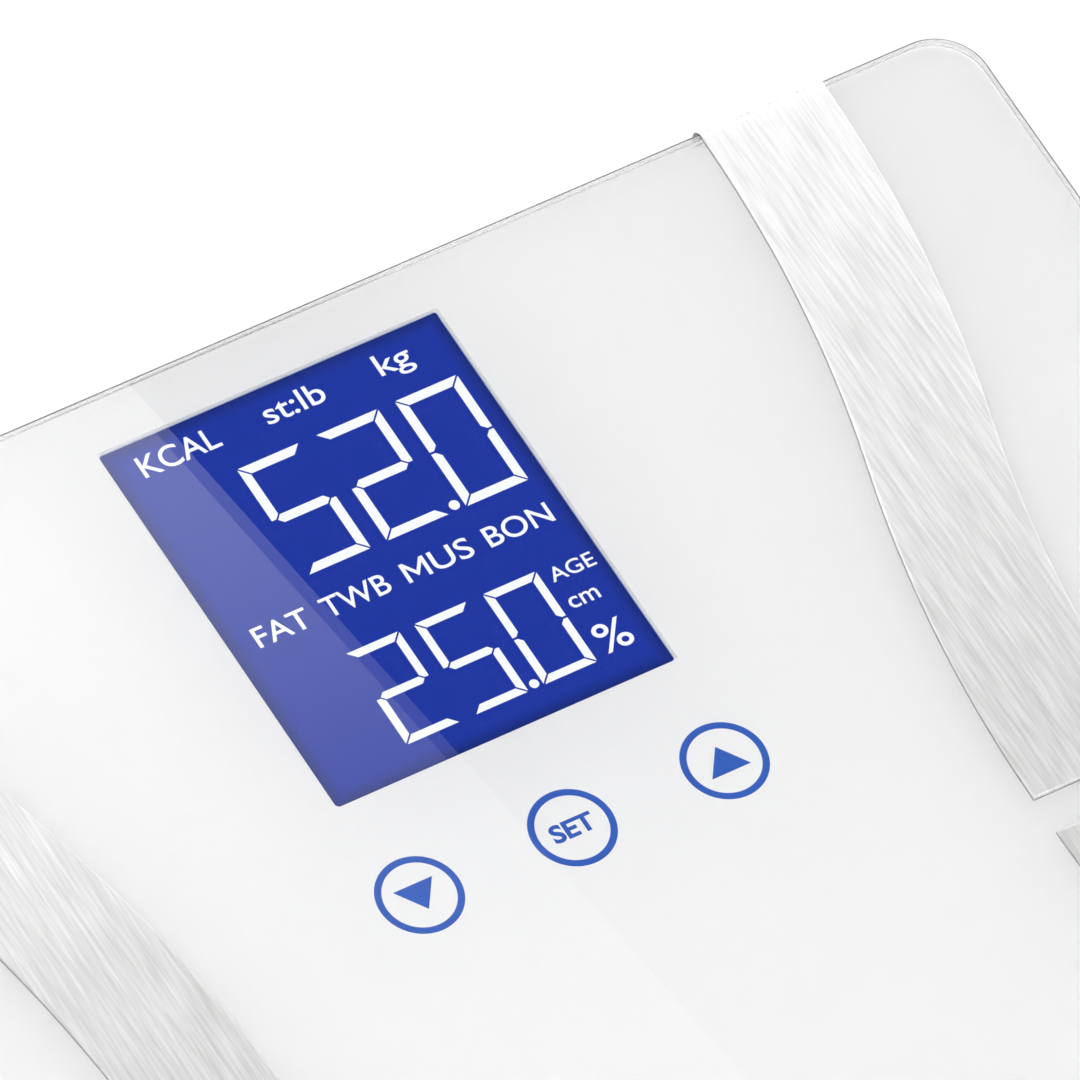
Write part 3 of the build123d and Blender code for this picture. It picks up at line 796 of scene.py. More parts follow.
    @staticmethod
    def modify(piece: bpy.types.Object, kind: str, **settings: object) -> None:
        """Applies one modifier to a piece's mesh.

        Args:
            piece: the object.
            kind: the modifier's type.
            settings: its settings.
        """
        modifier = piece.modifiers.new(kind.lower(), kind)
        for key, value in settings.items():
            setattr(modifier, key, value)
        bpy.context.view_layer.update()
        graph = bpy.context.evaluated_depsgraph_get()
        finished = bpy.data.meshes.new_from_object(piece.evaluated_get(graph))
        piece.modifiers.clear()
        piece.data = finished

    @staticmethod
    def dress(node: str, finish: Finish) -> None:
        """Gives a CAD node that keeps its own shape its finish.

        Args:
            node: the CAD node.
            finish: what it wears.
        """
        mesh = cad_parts[node].data
        mesh.materials.clear()
        mesh.materials.append(finish.material())
        LOG.info("%s keeps its CAD shape and wears %s", node, finish.name)


# ---------------------------------------------------------------- sub-assemblies


@dataclass
class GlassTop:
    """Glass plate, its white back print and the printed key legends."""

    corner: float = 10 * MM
    upper_edge: float = 0.8 * MM
    lower_edge: float = 0.5 * MM
    window_margin: float = 0.25 * MM
    window_corner: float = 0.5 * MM
    ink: float = 0.02 * MM
    sink: float = 0.01 * MM
    key_line: float = 1.3 * MM
    arrow: Tuple[float, float, float] = (4.0 * MM, 2.4 * MM, 3.2 * MM)
    word_size: Tuple[float, float] = (8.6 * MM, 3.7 * MM)

    def build(self, view_box: Tuple[Vector, Vector]) -> None:
        """Makes every piece.

        Args:
            view_box: lowest and highest corner of the visible display.
        """
        self._plate()
        self._print(view_box)
        self._legends()

    def _plate(self) -> None:
        """The glass itself, with its edges ground round."""
        low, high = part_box("glass_platform")
        bm = Workshop.plate(high.x - low.x, high.y - low.y, low.z, high.z, self.corner, steps=16)
        Workshop.bevel(bm, Workshop.edges_at(bm, high.z), self.upper_edge, 6)
        Workshop.bevel(bm, Workshop.edges_at(bm, low.z), self.lower_edge, 5)
        Workshop.place(bm, "glass_plate", GLASS, "clear_glass", replaces=["glass_platform"])

    def _print(self, view_box: Tuple[Vector, Vector]) -> None:
        """White ink with its display window left open.

        Args:
            view_box: lowest and highest corner of the visible display.
        """
        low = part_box("white_back_print")[0]
        width = view_box[1].x - view_box[0].x + 2 * self.window_margin
        depth = view_box[1].y - view_box[0].y + 2 * self.window_margin
        middle_y = (view_box[0].y + view_box[1].y) / 2
        bm = bmesh.new()
        Workshop.rounded_face(bm, width, depth, self.window_corner, 5)
        bmesh.ops.translate(bm, verts=bm.verts, vec=(0, middle_y, 0))
        bmesh.ops.delete(bm, geom=list(bm.faces), context="FACES_ONLY")
        sheet = bmesh.new()
        glass_low, glass_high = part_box("glass_platform")
        sheet_size = [glass_high[axis] - glass_low[axis] - 2 * self.lower_edge for axis in (0, 1)]
        Workshop.rounded_face(sheet, sheet_size[0], sheet_size[1], self.corner - self.lower_edge, 16)
        bmesh.ops.delete(sheet, geom=list(sheet.faces), context="FACES_ONLY")
        spare = bpy.data.meshes.new("print_border")
        sheet.to_mesh(spare)
        sheet.free()
        bm.from_mesh(spare)
        bpy.data.meshes.remove(spare)
        bmesh.ops.triangle_fill(bm, use_beauty=True, edges=list(bm.edges))
        stray = [face for face in bm.faces if self._inside(face, width, depth, middle_y)]
        bmesh.ops.delete(bm, geom=stray, context="FACES_ONLY")
        Workshop.thicken(bm, low.z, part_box("glass_platform")[0].z + self.sink)
        Workshop.place(bm, "back_print", WHITE_PRINT, "white_print", replaces=["white_back_print"])

    @staticmethod
    def _inside(face: bmesh.types.BMFace, width: float, depth: float, middle_y: float) -> bool:
        """Whether a face lies wholly within the display window.

        Args:
            face: the face.
            width: the window's width.
            depth: its depth.
            middle_y: its centre.

        Returns:
            True within the window.
        """
        tolerance = 1e-6
        return all(
            abs(vert.co.x) <= width / 2 + tolerance and abs(vert.co.y - middle_y) <= depth / 2 + tolerance
            for vert in face.verts
        )

    def _legends(self) -> None:
        """Blue rings, arrows and the word on the touch keys."""
        low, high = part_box("key_legends")
        radius = (high.y - low.y) / 2
        key_y = (low.y + high.y) / 2
        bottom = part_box("glass_platform")[0].z + self.sink
        top = bottom + self.ink
        reach = high.x - radius
        first = True
        for key, x in (("down", -reach), ("set", 0.0), ("up", reach)):
            bm = bmesh.new()
            bmesh.ops.create_circle(bm, cap_ends=True, radius=radius, segments=72)
            inset = bmesh.ops.inset_region(
                bm, faces=list(bm.faces), thickness=self.key_line, use_even_offset=True, use_boundary=True,
            )
            middle = [face for face in bm.faces if face not in set(inset["faces"])]
            bmesh.ops.delete(bm, geom=middle, context="FACES")
            Workshop.thicken(bm, bottom, top)
            bmesh.ops.translate(bm, verts=bm.verts, vec=(x, key_y, 0))
            replaced = ["key_legends"] if first else []
            Workshop.place(bm, f"legend_ring_{key}", BLUE_PRINT, "blue_print", replaces=replaced)
            first = False
        half, base, tip = self.arrow
        for key, x, way in (("down", -reach, -1), ("up", reach, 1)):
            corners = [(x - half, key_y - base * way), (x + half, key_y - base * way), (x, key_y + tip * way)]
            bm = Workshop.outline(corners, bottom, top)
            Workshop.place(bm, f"legend_arrow_{key}", BLUE_PRINT, "blue_print")
        lettering = Lettering(BLUE_PRINT, "blue_print", bottom, top)
        half_word = self.word_size[0] / 2
        lettering.write("SET", "legend_word_set", -half_word, half_word, key_y - self.word_size[1] / 2,
                        self.word_size[1], weight=0.032)


@dataclass
class Lettering:
    """Flat letters fitted to a width and a cap height."""

    finish: Finish
    slot: str
    low: float
    high: float

    def write(self, text: str, name: str, left: float, right: float, base: float, cap: float,
              weight: float = 0.006) -> None:
        """Makes one word.

        Args:
            text: the letters.
            name: the piece's name.
            left: where the word starts along X.
            right: where it ends.
            base: its base line along Y.
            cap: height of a capital.
            weight: how much the strokes are thickened, as a share of the letter size.
        """
        mesh = self._flat(text, weight)
        capital = self._flat("H", weight)
        cap_low, cap_high = self._reach(capital, 1)
        bpy.data.meshes.remove(capital)
        word_left, word_right = self._reach(mesh, 0)
        wide = (right - left) / (word_right - word_left)
        tall = cap / (cap_high - cap_low)
        bm = bmesh.new()
        bm.from_mesh(mesh)
        bpy.data.meshes.remove(mesh)
        bmesh.ops.remove_doubles(bm, verts=bm.verts, dist=1e-5)
        bmesh.ops.translate(bm, verts=bm.verts, vec=(-word_left, -cap_low, 0))
        bmesh.ops.scale(bm, verts=bm.verts, vec=(wide, tall, 1.0))
        bmesh.ops.translate(bm, verts=bm.verts, vec=(left, base, 0))
        Workshop.thicken(bm, self.low, self.high)
        Workshop.place(bm, name, self.finish, self.slot)

    def draw_m(self, name: str, left: float, right: float, base: float, cap: float, stroke: float) -> None:
        """Makes a capital M from its outline, with a vertex that stops above the base line.

        Args:
            name: the piece's name.
            left: where the letter starts along X.
            right: where it ends.
            base: its base line along Y.
            cap: height of a capital.
            stroke: width of its uprights.
        """
        half = (right - left) / 2
        drop = 0.27 * cap
        side = [
            (-half, 0.0), (-half, cap), (stroke - half, cap), (0.0, cap - 0.56 * cap),
            (half - stroke, cap), (half, cap), (half, 0.0), (half - stroke, 0.0), (half - stroke, cap - drop),
            (0.0, cap - 0.83 * cap), (stroke - half, cap - drop), (stroke - half, 0.0),
        ]
        points = [(left + half + x, base + y) for x, y in side]
        Workshop.place(Workshop.outline(points, self.low, self.high), name, self.finish, self.slot)

    @staticmethod
    def _flat(text: str, weight: float) -> bpy.types.Mesh:
        """Flat mesh of some text at letter size 1.

        Args:
            text: the letters.
            weight: how much the strokes are thickened.

        Returns:
            A mesh at the origin.
        """
        curve = bpy.data.curves.new("letters", "FONT")
        curve.body = text
        curve.offset = weight
        curve.resolution_u = 6
        holder = bpy.data.objects.new("letters", curve)
        bpy.context.scene.collection.objects.link(holder)
        bpy.context.view_layer.update()
        graph = bpy.context.evaluated_depsgraph_get()
        mesh = bpy.data.meshes.new_from_object(holder.evaluated_get(graph))
        bpy.data.objects.remove(holder)
        bpy.data.curves.remove(curve)
        return mesh

    @staticmethod
    def _reach(mesh: bpy.types.Mesh, axis: int) -> Tuple[float, float]:
        """Lowest and highest coordinate along an axis."""
        places = [vert.co[axis] for vert in mesh.vertices]
        return min(places), max(places)


class Bar(Enum):
    """The seven bars of a figure, clockwise from the top, and the middle one."""

    TOP = "a"
    UPPER_RIGHT = "b"
    LOWER_RIGHT = "c"
    BOTTOM = "d"
    LOWER_LEFT = "e"
    UPPER_LEFT = "f"
    MIDDLE = "g"


FIGURE_BARS = {"0": "abcdef", "2": "abged", "5": "afgcd"}


@dataclass
class Figure:
    """One seven-bar figure, from its lower left corner."""

    left: float
    base: float
    width: float
    height: float
    line: float
    gap: float = 0.24 * MM

    def corners(self, bar: Bar) -> List[Point]:
        """Outline of one bar, with mitred ends.

        Args:
            bar: which bar.

        Returns:
            Its corners in plan.
        """
        w, h, t, g = self.width, self.height, self.line, self.gap
        middle = h / 2
        upper_right = [
            (w, h - g), (w, middle + g), (w - t / 2, middle + g),
            (w - t, middle + t / 2 + g), (w - t, h - t - g),
        ]
        shapes = {
            Bar.TOP: [(g, h), (w - g, h), (w - t - g, h - t), (t + g, h - t)],
            Bar.BOTTOM: [(g, 0.0), (t + g, t), (w - t - g, t), (w - g, 0.0)],
            Bar.UPPER_RIGHT: upper_right,
            Bar.LOWER_RIGHT: [(x, h - y) for x, y in upper_right],
            Bar.UPPER_LEFT: [(w - x, y) for x, y in upper_right],
            Bar.LOWER_LEFT: [(w - x, h - y) for x, y in upper_right],
            Bar.MIDDLE: [
                (t / 2 + g, middle), (t + g, middle + t / 2), (w - t - g, middle + t / 2),
                (w - t / 2 - g, middle), (w - t - g, middle - t / 2), (t + g, middle - t / 2),
            ],
        }
        return [(self.left + x, self.base + y) for x, y in shapes[bar]]


@dataclass
class Row:
    """A row of figures with a decimal point."""

    name: str
    text: str
    lefts: Tuple[float, ...]
    base: float
    width: float
    height: float
    line: float
    point: Point
    point_radius: float


@dataclass
class Word:
    """A fixed field name on the display, placed from the view's middle."""

    text: str
    name: str
    left: float
    right: float
    base: float
    cap: float


@dataclass
class Display:
    """Blue display face with its figures and field names, behind a white frame."""

    lift: float = 0.01 * MM
    ink: float = 0.03 * MM
    rows: List[Row] = field(default_factory=lambda: [
        Row("upper", "520", (-14.2 * MM, 2.0 * MM, 18.4 * MM), 3.1 * MM, 12.9 * MM, 24.5 * MM, 1.8 * MM,
            (16.6 * MM, 4.3 * MM), 1.0 * MM),
        Row("lower", "250", (-17.0 * MM, -2.9 * MM, 11.3 * MM), -34.85 * MM, 11.0 * MM, 20.9 * MM, 1.55 * MM,
            (9.8 * MM, -33.9 * MM), 0.9 * MM),
    ])
    words: List[Word] = field(default_factory=lambda: [
        Word("KCAL", "kcal", -29.5 * MM, -13.6 * MM, 33.1 * MM, 4.4 * MM),
        Word("st:lb", "st_lb", -4.1 * MM, 8.1 * MM, 33.1 * MM, 4.4 * MM),
        Word("kg", "kg", 19.2 * MM, 26.0 * MM, 33.1 * MM, 4.4 * MM),
        Word("FAT", "fat", -29.7 * MM, -18.7 * MM, -6.3 * MM, 4.15 * MM),
        Word("TWB", "twb", -15.7 * MM, -2.3 * MM, -6.3 * MM, 4.15 * MM),
        Word("US", "mus", 6.7 * MM, 14.8 * MM, -6.3 * MM, 4.15 * MM),
        Word("BON", "bon", 17.9 * MM, 31.2 * MM, -6.3 * MM, 4.15 * MM),
        Word("AGE", "age", 24.0 * MM, 33.0 * MM, -17.4 * MM, 2.9 * MM),
        Word("cm", "cm", 24.1 * MM, 30.1 * MM, -23.6 * MM, 3.4 * MM),
        Word("%", "percent", 24.4 * MM, 30.8 * MM, -34.3 * MM, 6.0 * MM),
    ])

    letter_m: Tuple[float, float, float, float, float] = (1.0 * MM, 5.9 * MM, -6.3 * MM, 4.15 * MM, 0.74 * MM)

    def view_box(self) -> Tuple[Vector, Vector]:
        """Lowest and highest corner of the part of the display that shows."""
        frame_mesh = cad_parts["display_frame"].data
        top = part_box("display_frame")[1].z
        low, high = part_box("display_frame")
        middle = (low + high) / 2
        lip = [vert.co for vert in frame_mesh.vertices if abs(vert.co.z - top) < SAME_HEIGHT]
        wall = 3 * MM
        half_depth = (high.y - low.y) / 2
        inner = [
            co for co in lip
            if abs(co.x) < high.x - wall and abs(co.y - middle.y) < half_depth - wall
        ]
        return (
            Vector((min(co.x for co in inner), min(co.y for co in inner), top)),
            Vector((max(co.x for co in inner), max(co.y for co in inner), top)),
        )

    def build(self) -> None:
        """Makes the face, the frame, the figures and the words."""
        view_low, view_high = self.view_box()
        middle = (view_low + view_high) / 2
        half = (view_high - view_low) / 2
        glow = DisplayGlow("blue_display", (middle.x, middle.y), (half.x, half.y))
        low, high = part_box("front_polarizer")
        size = high - low
        centre = (low + high) / 2
        bm = Workshop.plate(size.x, size.y, low.z, high.z, middle=(centre.x, centre.y))
        Workshop.place(bm, "display_face", glow, "blue_display", replaces=["front_polarizer"])
        rim = Workshop.merged_copy("display_frame")
        Workshop.place(rim, "display_rim", WHITE_FRAME, "white_frame", replaces=["display_frame"],
                       round_edges=0.12 * MM)
        self._figures(middle, high.z + self.lift)
        lettering = Lettering(SEGMENT, "blue_display", high.z + self.lift, high.z + self.lift + self.ink)
        for word in self.words:
            lettering.write(word.text, f"field_{word.name}", middle.x + word.left, middle.x + word.right,
                            middle.y + word.base, word.cap)
        left, right, base, cap, stroke = self.letter_m
        lettering.draw_m("field_mus_m", middle.x + left, middle.x + right, middle.y + base, cap, stroke)

    def _figures(self, middle: Vector, low: float) -> None:
        """Makes the lit bars and the points of both rows.

        Args:
            middle: the view's middle.
            low: height of the bars' lower side.
        """
        for row in self.rows:
            for place, (figure, left) in enumerate(zip(row.text, row.lefts)):
                shape = Figure(middle.x + left, middle.y + row.base, row.width, row.height, row.line)
                bm = bmesh.new()
                for bar in Bar:
                    if bar.value in FIGURE_BARS[figure]:
                        part = Workshop.outline(shape.corners(bar), low, low + self.ink)
                        spare = bpy.data.meshes.new("bar")
                        part.to_mesh(spare)
                        part.free()
                        bm.from_mesh(spare)
                        bpy.data.meshes.remove(spare)
                Workshop.place(bm, f"figure_{row.name}_{place + 1}", SEGMENT, "blue_display")
            bm = bmesh.new()
            bmesh.ops.create_circle(bm, cap_ends=True, radius=row.point_radius, segments=32)
            Workshop.thicken(bm, low, low + self.ink)
            bmesh.ops.translate(bm, verts=bm.verts, vec=(middle.x + row.point[0], middle.y + row.point[1], 0))
            Workshop.place(bm, f"point_{row.name}", SEGMENT, "blue_display")


@dataclass
class Electrodes:
    """Four steel strips that wander in two arcs and fold over the glass edge."""

    width: float = 25.8 * MM
    bevel: float = 0.45 * MM
    bend: float = 2.7 * MM
    rows_along: int = 64
    rows_across: int = 4

    def build(self) -> None:
        """Makes the strips."""
        for corner, (sign_x, sign_y) in CORNER_SIGNS.items():
            self._strip(corner, sign_x, sign_y)

    def _strip(self, corner: str, sign_x: int, sign_y: int) -> None:
        """Makes one strip as the right-hand toe strip, then mirrors it.

        Args:
            corner: name of the plate's corner.
            sign_x: side of the plate.
            sign_y: end of the plate.
        """
        box_low, box_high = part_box("electrode_toe_right")
        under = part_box("electrode_adhesive")[1].z
        thickness = box_high.z - under
        near_x, start_y = box_low.x, box_low.y
        far_x = box_high.x - self.width
        inner_radius = self.bend - thickness
        end_y = box_high.y - self.bend
        bm = bmesh.new()
        bmesh.ops.create_grid(bm, x_segments=self.rows_across, y_segments=self.rows_along, size=0.5)
        bmesh.ops.translate(bm, verts=bm.verts, vec=(0.5, 0.5, 0.0))
        bmesh.ops.scale(bm, verts=bm.verts, vec=(self.width, end_y - start_y, 1.0))
        bmesh.ops.translate(bm, verts=bm.verts, vec=(near_x, start_y, under))
        for vert in bm.verts:
            share = (vert.co.y - start_y) / (end_y - start_y)
            vert.co.x += self._drift(share, far_x - near_x, end_y - start_y)
        self._fold(bm, end_y, under, inner_radius, box_low.z + thickness)
        bmesh.ops.recalc_face_normals(bm, faces=bm.faces)
        if max(bm.faces, key=lambda face: face.calc_center_median().z).normal.z > 0:
            bmesh.ops.reverse_faces(bm, faces=bm.faces)
        bmesh.ops.solidify(bm, geom=list(bm.faces), thickness=thickness)
        self._soften_border(bm)
        if sign_x < 0 or sign_y < 0:
            bmesh.ops.scale(bm, verts=bm.verts, vec=(sign_x, sign_y, 1.0))
        bmesh.ops.recalc_face_normals(bm, faces=bm.faces)
        strip = Workshop.place(bm, f"strip_{corner}", STEEL_STRIP, "brushed_steel",
                               replaces=[f"electrode_{corner}"], smooth_from=24)
        # the white print under the glass stays evenly lit beside the strips
        strip.visible_shadow = False
        strip.visible_transmission = False
        strip.visible_glossy = False

    def _soften_border(self, bm: bmesh.types.BMesh) -> None:
        """Bevels the strip's upper border.

        Args:
            bm: the thick strip.
        """
        bm.normal_update()
        top = max(vert.co.z for vert in bm.verts)
        border = [
            edge for edge in bm.edges
            if all(abs(vert.co.z - top) < SAME_HEIGHT for vert in edge.verts)
            and len(edge.link_faces) == 2
            and edge.calc_face_angle(0.0) > math.radians(60)
        ]
        Workshop.bevel(bm, border, self.bevel, 2)

    @staticmethod
    def _drift(share: float, total: float, length: float) -> float:
        """Sideways drift of two equal tangent arcs.

        Args:
            share: place along the strip, from 0 to 1.
            total: drift at the strip's end.
            length: the strip's length.

        Returns:
            Drift at that place.
        """
        radius = (length * length + total * total) / (4 * total)
        run = min(share, 1 - share) * length
        rise = radius - math.sqrt(radius * radius - run * run)
        return rise if share <= 0.5 else total - rise

    def _fold(self, bm: bmesh.types.BMesh, end_y: float, top_z: float, radius: float,
              bottom_z: float) -> None:
        """Continues the strip round the glass edge and back under it.

        Args:
            bm: the flat strip.
            end_y: where the bend starts.
            top_z: height of the strip's lower face.
            radius: inner radius of both bends.
            bottom_z: height of the return flange's upper face.
        """
        edges = [edge for edge in bm.edges if all(abs(vert.co.y - end_y) < 1e-6 for vert in edge.verts)]
        return_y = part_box("electrode_toe_right")[1].y - 12.9 * MM
        edges = self._bend(bm, edges, (0, end_y, top_z - radius), 6)
        edges = self._run(bm, edges, (0, 0, bottom_z + 2 * radius - top_z))
        edges = self._bend(bm, edges, (0, end_y, bottom_z + radius), 6)
        self._run(bm, edges, (0, return_y - end_y, 0))

    @staticmethod
    def _bend(bm: bmesh.types.BMesh, edges: List, centre: Tuple[float, float, float], steps: int) -> List:
        """Turns a border by a quarter about an axis along X.

        Args:
            bm: the mesh.
            edges: the border.
            centre: a point on the axis.
            steps: facets in the bend.

        Returns:
            The new border.
        """
        verts = list({vert for edge in edges for vert in edge.verts})
        spun = bmesh.ops.spin(
            bm, geom=verts + edges, cent=centre, axis=(1, 0, 0), angle=-math.pi / 2, steps=steps,
            use_merge=False,
        )
        return [item for item in spun["geom_last"] if isinstance(item, bmesh.types.BMEdge)]

    @staticmethod
    def _run(bm: bmesh.types.BMesh, edges: List, shift: Tuple[float, float, float]) -> List:
        """Extends a border in a straight line.

        Args:
            bm: the mesh.
            edges: the border.
            shift: how far and which way.

        Returns:
            The new border.
        """
        grown = bmesh.ops.extrude_edge_only(bm, edges=edges)["geom"]
        verts = [item for item in grown if isinstance(item, bmesh.types.BMVert)]
        bmesh.ops.translate(bm, verts=verts, vec=shift)
        return [item for item in grown if isinstance(item, bmesh.types.BMEdge)]


@dataclass
class Housing:
    """Tray, cover, screws and label under the glass."""

    seam: float = 0.25 * MM

    def build(self) -> None:
        """Makes the pieces."""
        for node, name in (("top_tray", "tray_shell"), ("bottom_cover", "cover_shell")):
            bm = Workshop.merged_copy(node)
            Workshop.place(bm, name, WHITE_SHELL, "white_shell", replaces=[node], round_edges=self.seam)
        bm = Workshop.merged_copy("cover_screws")
        Workshop.place(bm, "cover_screw_set", ZINC, "zinc_steel", replaces=["cover_screws"],
                       round_edges=0.12 * MM)
        bm = Workshop.merged_copy("rating_label")
        Workshop.place(bm, "blank_label", LABEL_FILM, "label_film", replaces=["rating_label"])


@dataclass
class Feet:
    """Four sprung feet, each a moulded cap and a rubber pad."""

    edge: float = 0.6 * MM
    groove_radii: Tuple[float, ...] = (5.0 * MM, 9.0 * MM, 13.0 * MM)
    groove_half: float = 0.6 * MM
    groove_depth: float = 0.5 * MM
    barrel: float = 19.0 * MM
    flange_z: float = 7.3 * MM
    cap_top_z: float = 8.8 * MM
    pip: float = 3.0 * MM

    def build(self) -> None:
        """Makes a cap and a pad at each corner."""
        for corner in CORNER_SIGNS:
            self._pad(corner)
            self._cap(corner)

    def _pad(self, corner: str) -> None:
        """Rubber pad with ring grooves in its sole.

        Args:
            corner: name of the plate's corner.
        """
        low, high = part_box(f"foot_pad_{corner}")
        radius = (high.x - low.x) / 2
        middle = ((low.x + high.x) / 2, (low.y + high.y) / 2, low.z)
        height = high.z - low.z
        profile = [(0.0, 0.0)]
        for groove in self.groove_radii:
            inner, outer = groove - self.groove_half, groove + self.groove_half
            profile += [
                (inner, 0.0), (inner + 0.1 * MM, self.groove_depth),
                (outer - 0.1 * MM, self.groove_depth), (outer, 0.0),
            ]
        for step in range(5):
            angle = step * math.pi / 8
            profile.append((
                radius - self.edge + self.edge * math.sin(angle), self.edge - self.edge * math.cos(angle),
            ))
        profile += [(radius, height), (0.0, height)]
        bm = Workshop.turned(profile, middle)
        Workshop.place(bm, f"pad_{corner}", PAD_RUBBER, "pad_rubber", f"foot_{corner}",
                       [f"foot_pad_{corner}"])

    def _cap(self, corner: str) -> None:
        """Moulded cap with a rounded lower rim, a pocket for the pad and a flange.

        Args:
            corner: name of the plate's corner.
        """
        low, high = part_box(f"foot_cap_{corner}")
        pad_low, pad_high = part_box(f"foot_pad_{corner}")
        pad_radius = (pad_high.x - pad_low.x) / 2
        flange = (high.x - low.x) / 2
        middle = ((low.x + high.x) / 2, (low.y + high.y) / 2, 0.0)
        rim = self.edge
        profile = [
            (0.0, pad_high.z), (pad_radius, pad_high.z), (pad_radius, low.z + 0.2 * MM),
            (pad_radius + 0.2 * MM, low.z), (self.barrel - rim, low.z),
            (self.barrel - rim * 0.3, low.z + rim * 0.3),
            (self.barrel, low.z + rim), (self.barrel, self.flange_z), (flange, self.flange_z),
            (flange, self.cap_top_z), (self.pip, self.cap_top_z), (self.pip, high.z), (0.0, high.z),
        ]
        bm = Workshop.turned(profile, middle)
        Workshop.place(bm, f"cap_{corner}", FOOT_PLASTIC, "foot_plastic", f"foot_{corner}",
                       [f"foot_cap_{corner}"])


@dataclass
class Power:
    """Battery door, the four cells and the unit button."""

    crimp: float = 0.35 * MM
    nub: Tuple[float, float] = (1.9 * MM, 1.0 * MM)

    def build(self) -> None:
        """Makes the pieces."""
        bm = Workshop.merged_copy("battery_door")
        Workshop.place(bm, "door_panel", WHITE_SHELL, "white_shell", "battery_door", ["battery_door"],
                       round_edges=0.2 * MM)
        for row in range(1, 5):
            self._cell(row)
        self._button()

    def _cell(self, row: int) -> None:
        """One dry cell, turned about its own axis and laid along X.

        Args:
            row: its number, from the heel side.
        """
        low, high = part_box(f"battery_{row}")
        radius = (high.z - low.z) / 2
        length = high.x - low.x
        nub_radius, nub_height = self.nub
        body = length - nub_height
        lip = self.crimp
        profile = [
            (0.0, 0.0), (radius - 3 * lip, 0.0), (radius - 2 * lip, lip * 0.5), (radius - lip, 0.0),
            (radius, lip), (radius, body - lip), (radius - lip, body), (radius - 3 * lip, body - lip * 0.5),
            (nub_radius + lip, body - lip * 0.5), (nub_radius, body), (nub_radius, length - lip),
            (nub_radius - lip, length), (0.0, length),
        ]
        bm = Workshop.turned(profile, (0.0, 0.0, 0.0), steps=48)
        way = -1 if row % 2 else 1
        turn = Matrix.Rotation(way * math.pi / 2, 4, "Y")
        bmesh.ops.transform(bm, matrix=turn, verts=bm.verts)
        start_x = high.x if way < 0 else low.x
        bmesh.ops.translate(bm, verts=bm.verts, vec=(start_x, (low.y + high.y) / 2, (low.z + high.z) / 2))
        Workshop.place(bm, f"dry_cell_{row}", BatteryWrap("battery_wrap"), "battery_wrap", PLATFORM,
                       [f"battery_{row}"])

    def _button(self) -> None:
        """Unit button with a dished face."""
        low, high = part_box("unit_button")
        flange = (high.x - low.x) / 2
        middle = ((low.x + high.x) / 2, (low.y + high.y) / 2, 0.0)
        face = flange - 1.5 * MM
        step_low, step_high = low.z + 2.5 * MM, low.z + 3.1 * MM
        profile = [
            (0.0, low.z + 0.25 * MM), (face * 0.7, low.z + 0.2 * MM), (face - 0.4 * MM, low.z),
            (face - 0.1 * MM, low.z + 0.1 * MM), (face, low.z + 0.4 * MM), (face, step_low),
            (flange, step_low),
            (flange, step_high), (1.5 * MM, step_high), (1.5 * MM, high.z), (0.0, high.z),
        ]
        bm = Workshop.turned(profile, middle, steps=48)
        Workshop.place(bm, "unit_key", BUTTON_GREY, "button_grey", "unit_button", ["unit_button"])


@dataclass
class Inside:
    """Nodes inside the housing that keep their CAD shape."""

    def build(self) -> None:
        """Dresses each node."""
        for finish, nodes in INSIDE_FINISHES.values():
            for node in nodes:
                Workshop.dress(node, finish)


# ---------------------------------------------------------------- studio


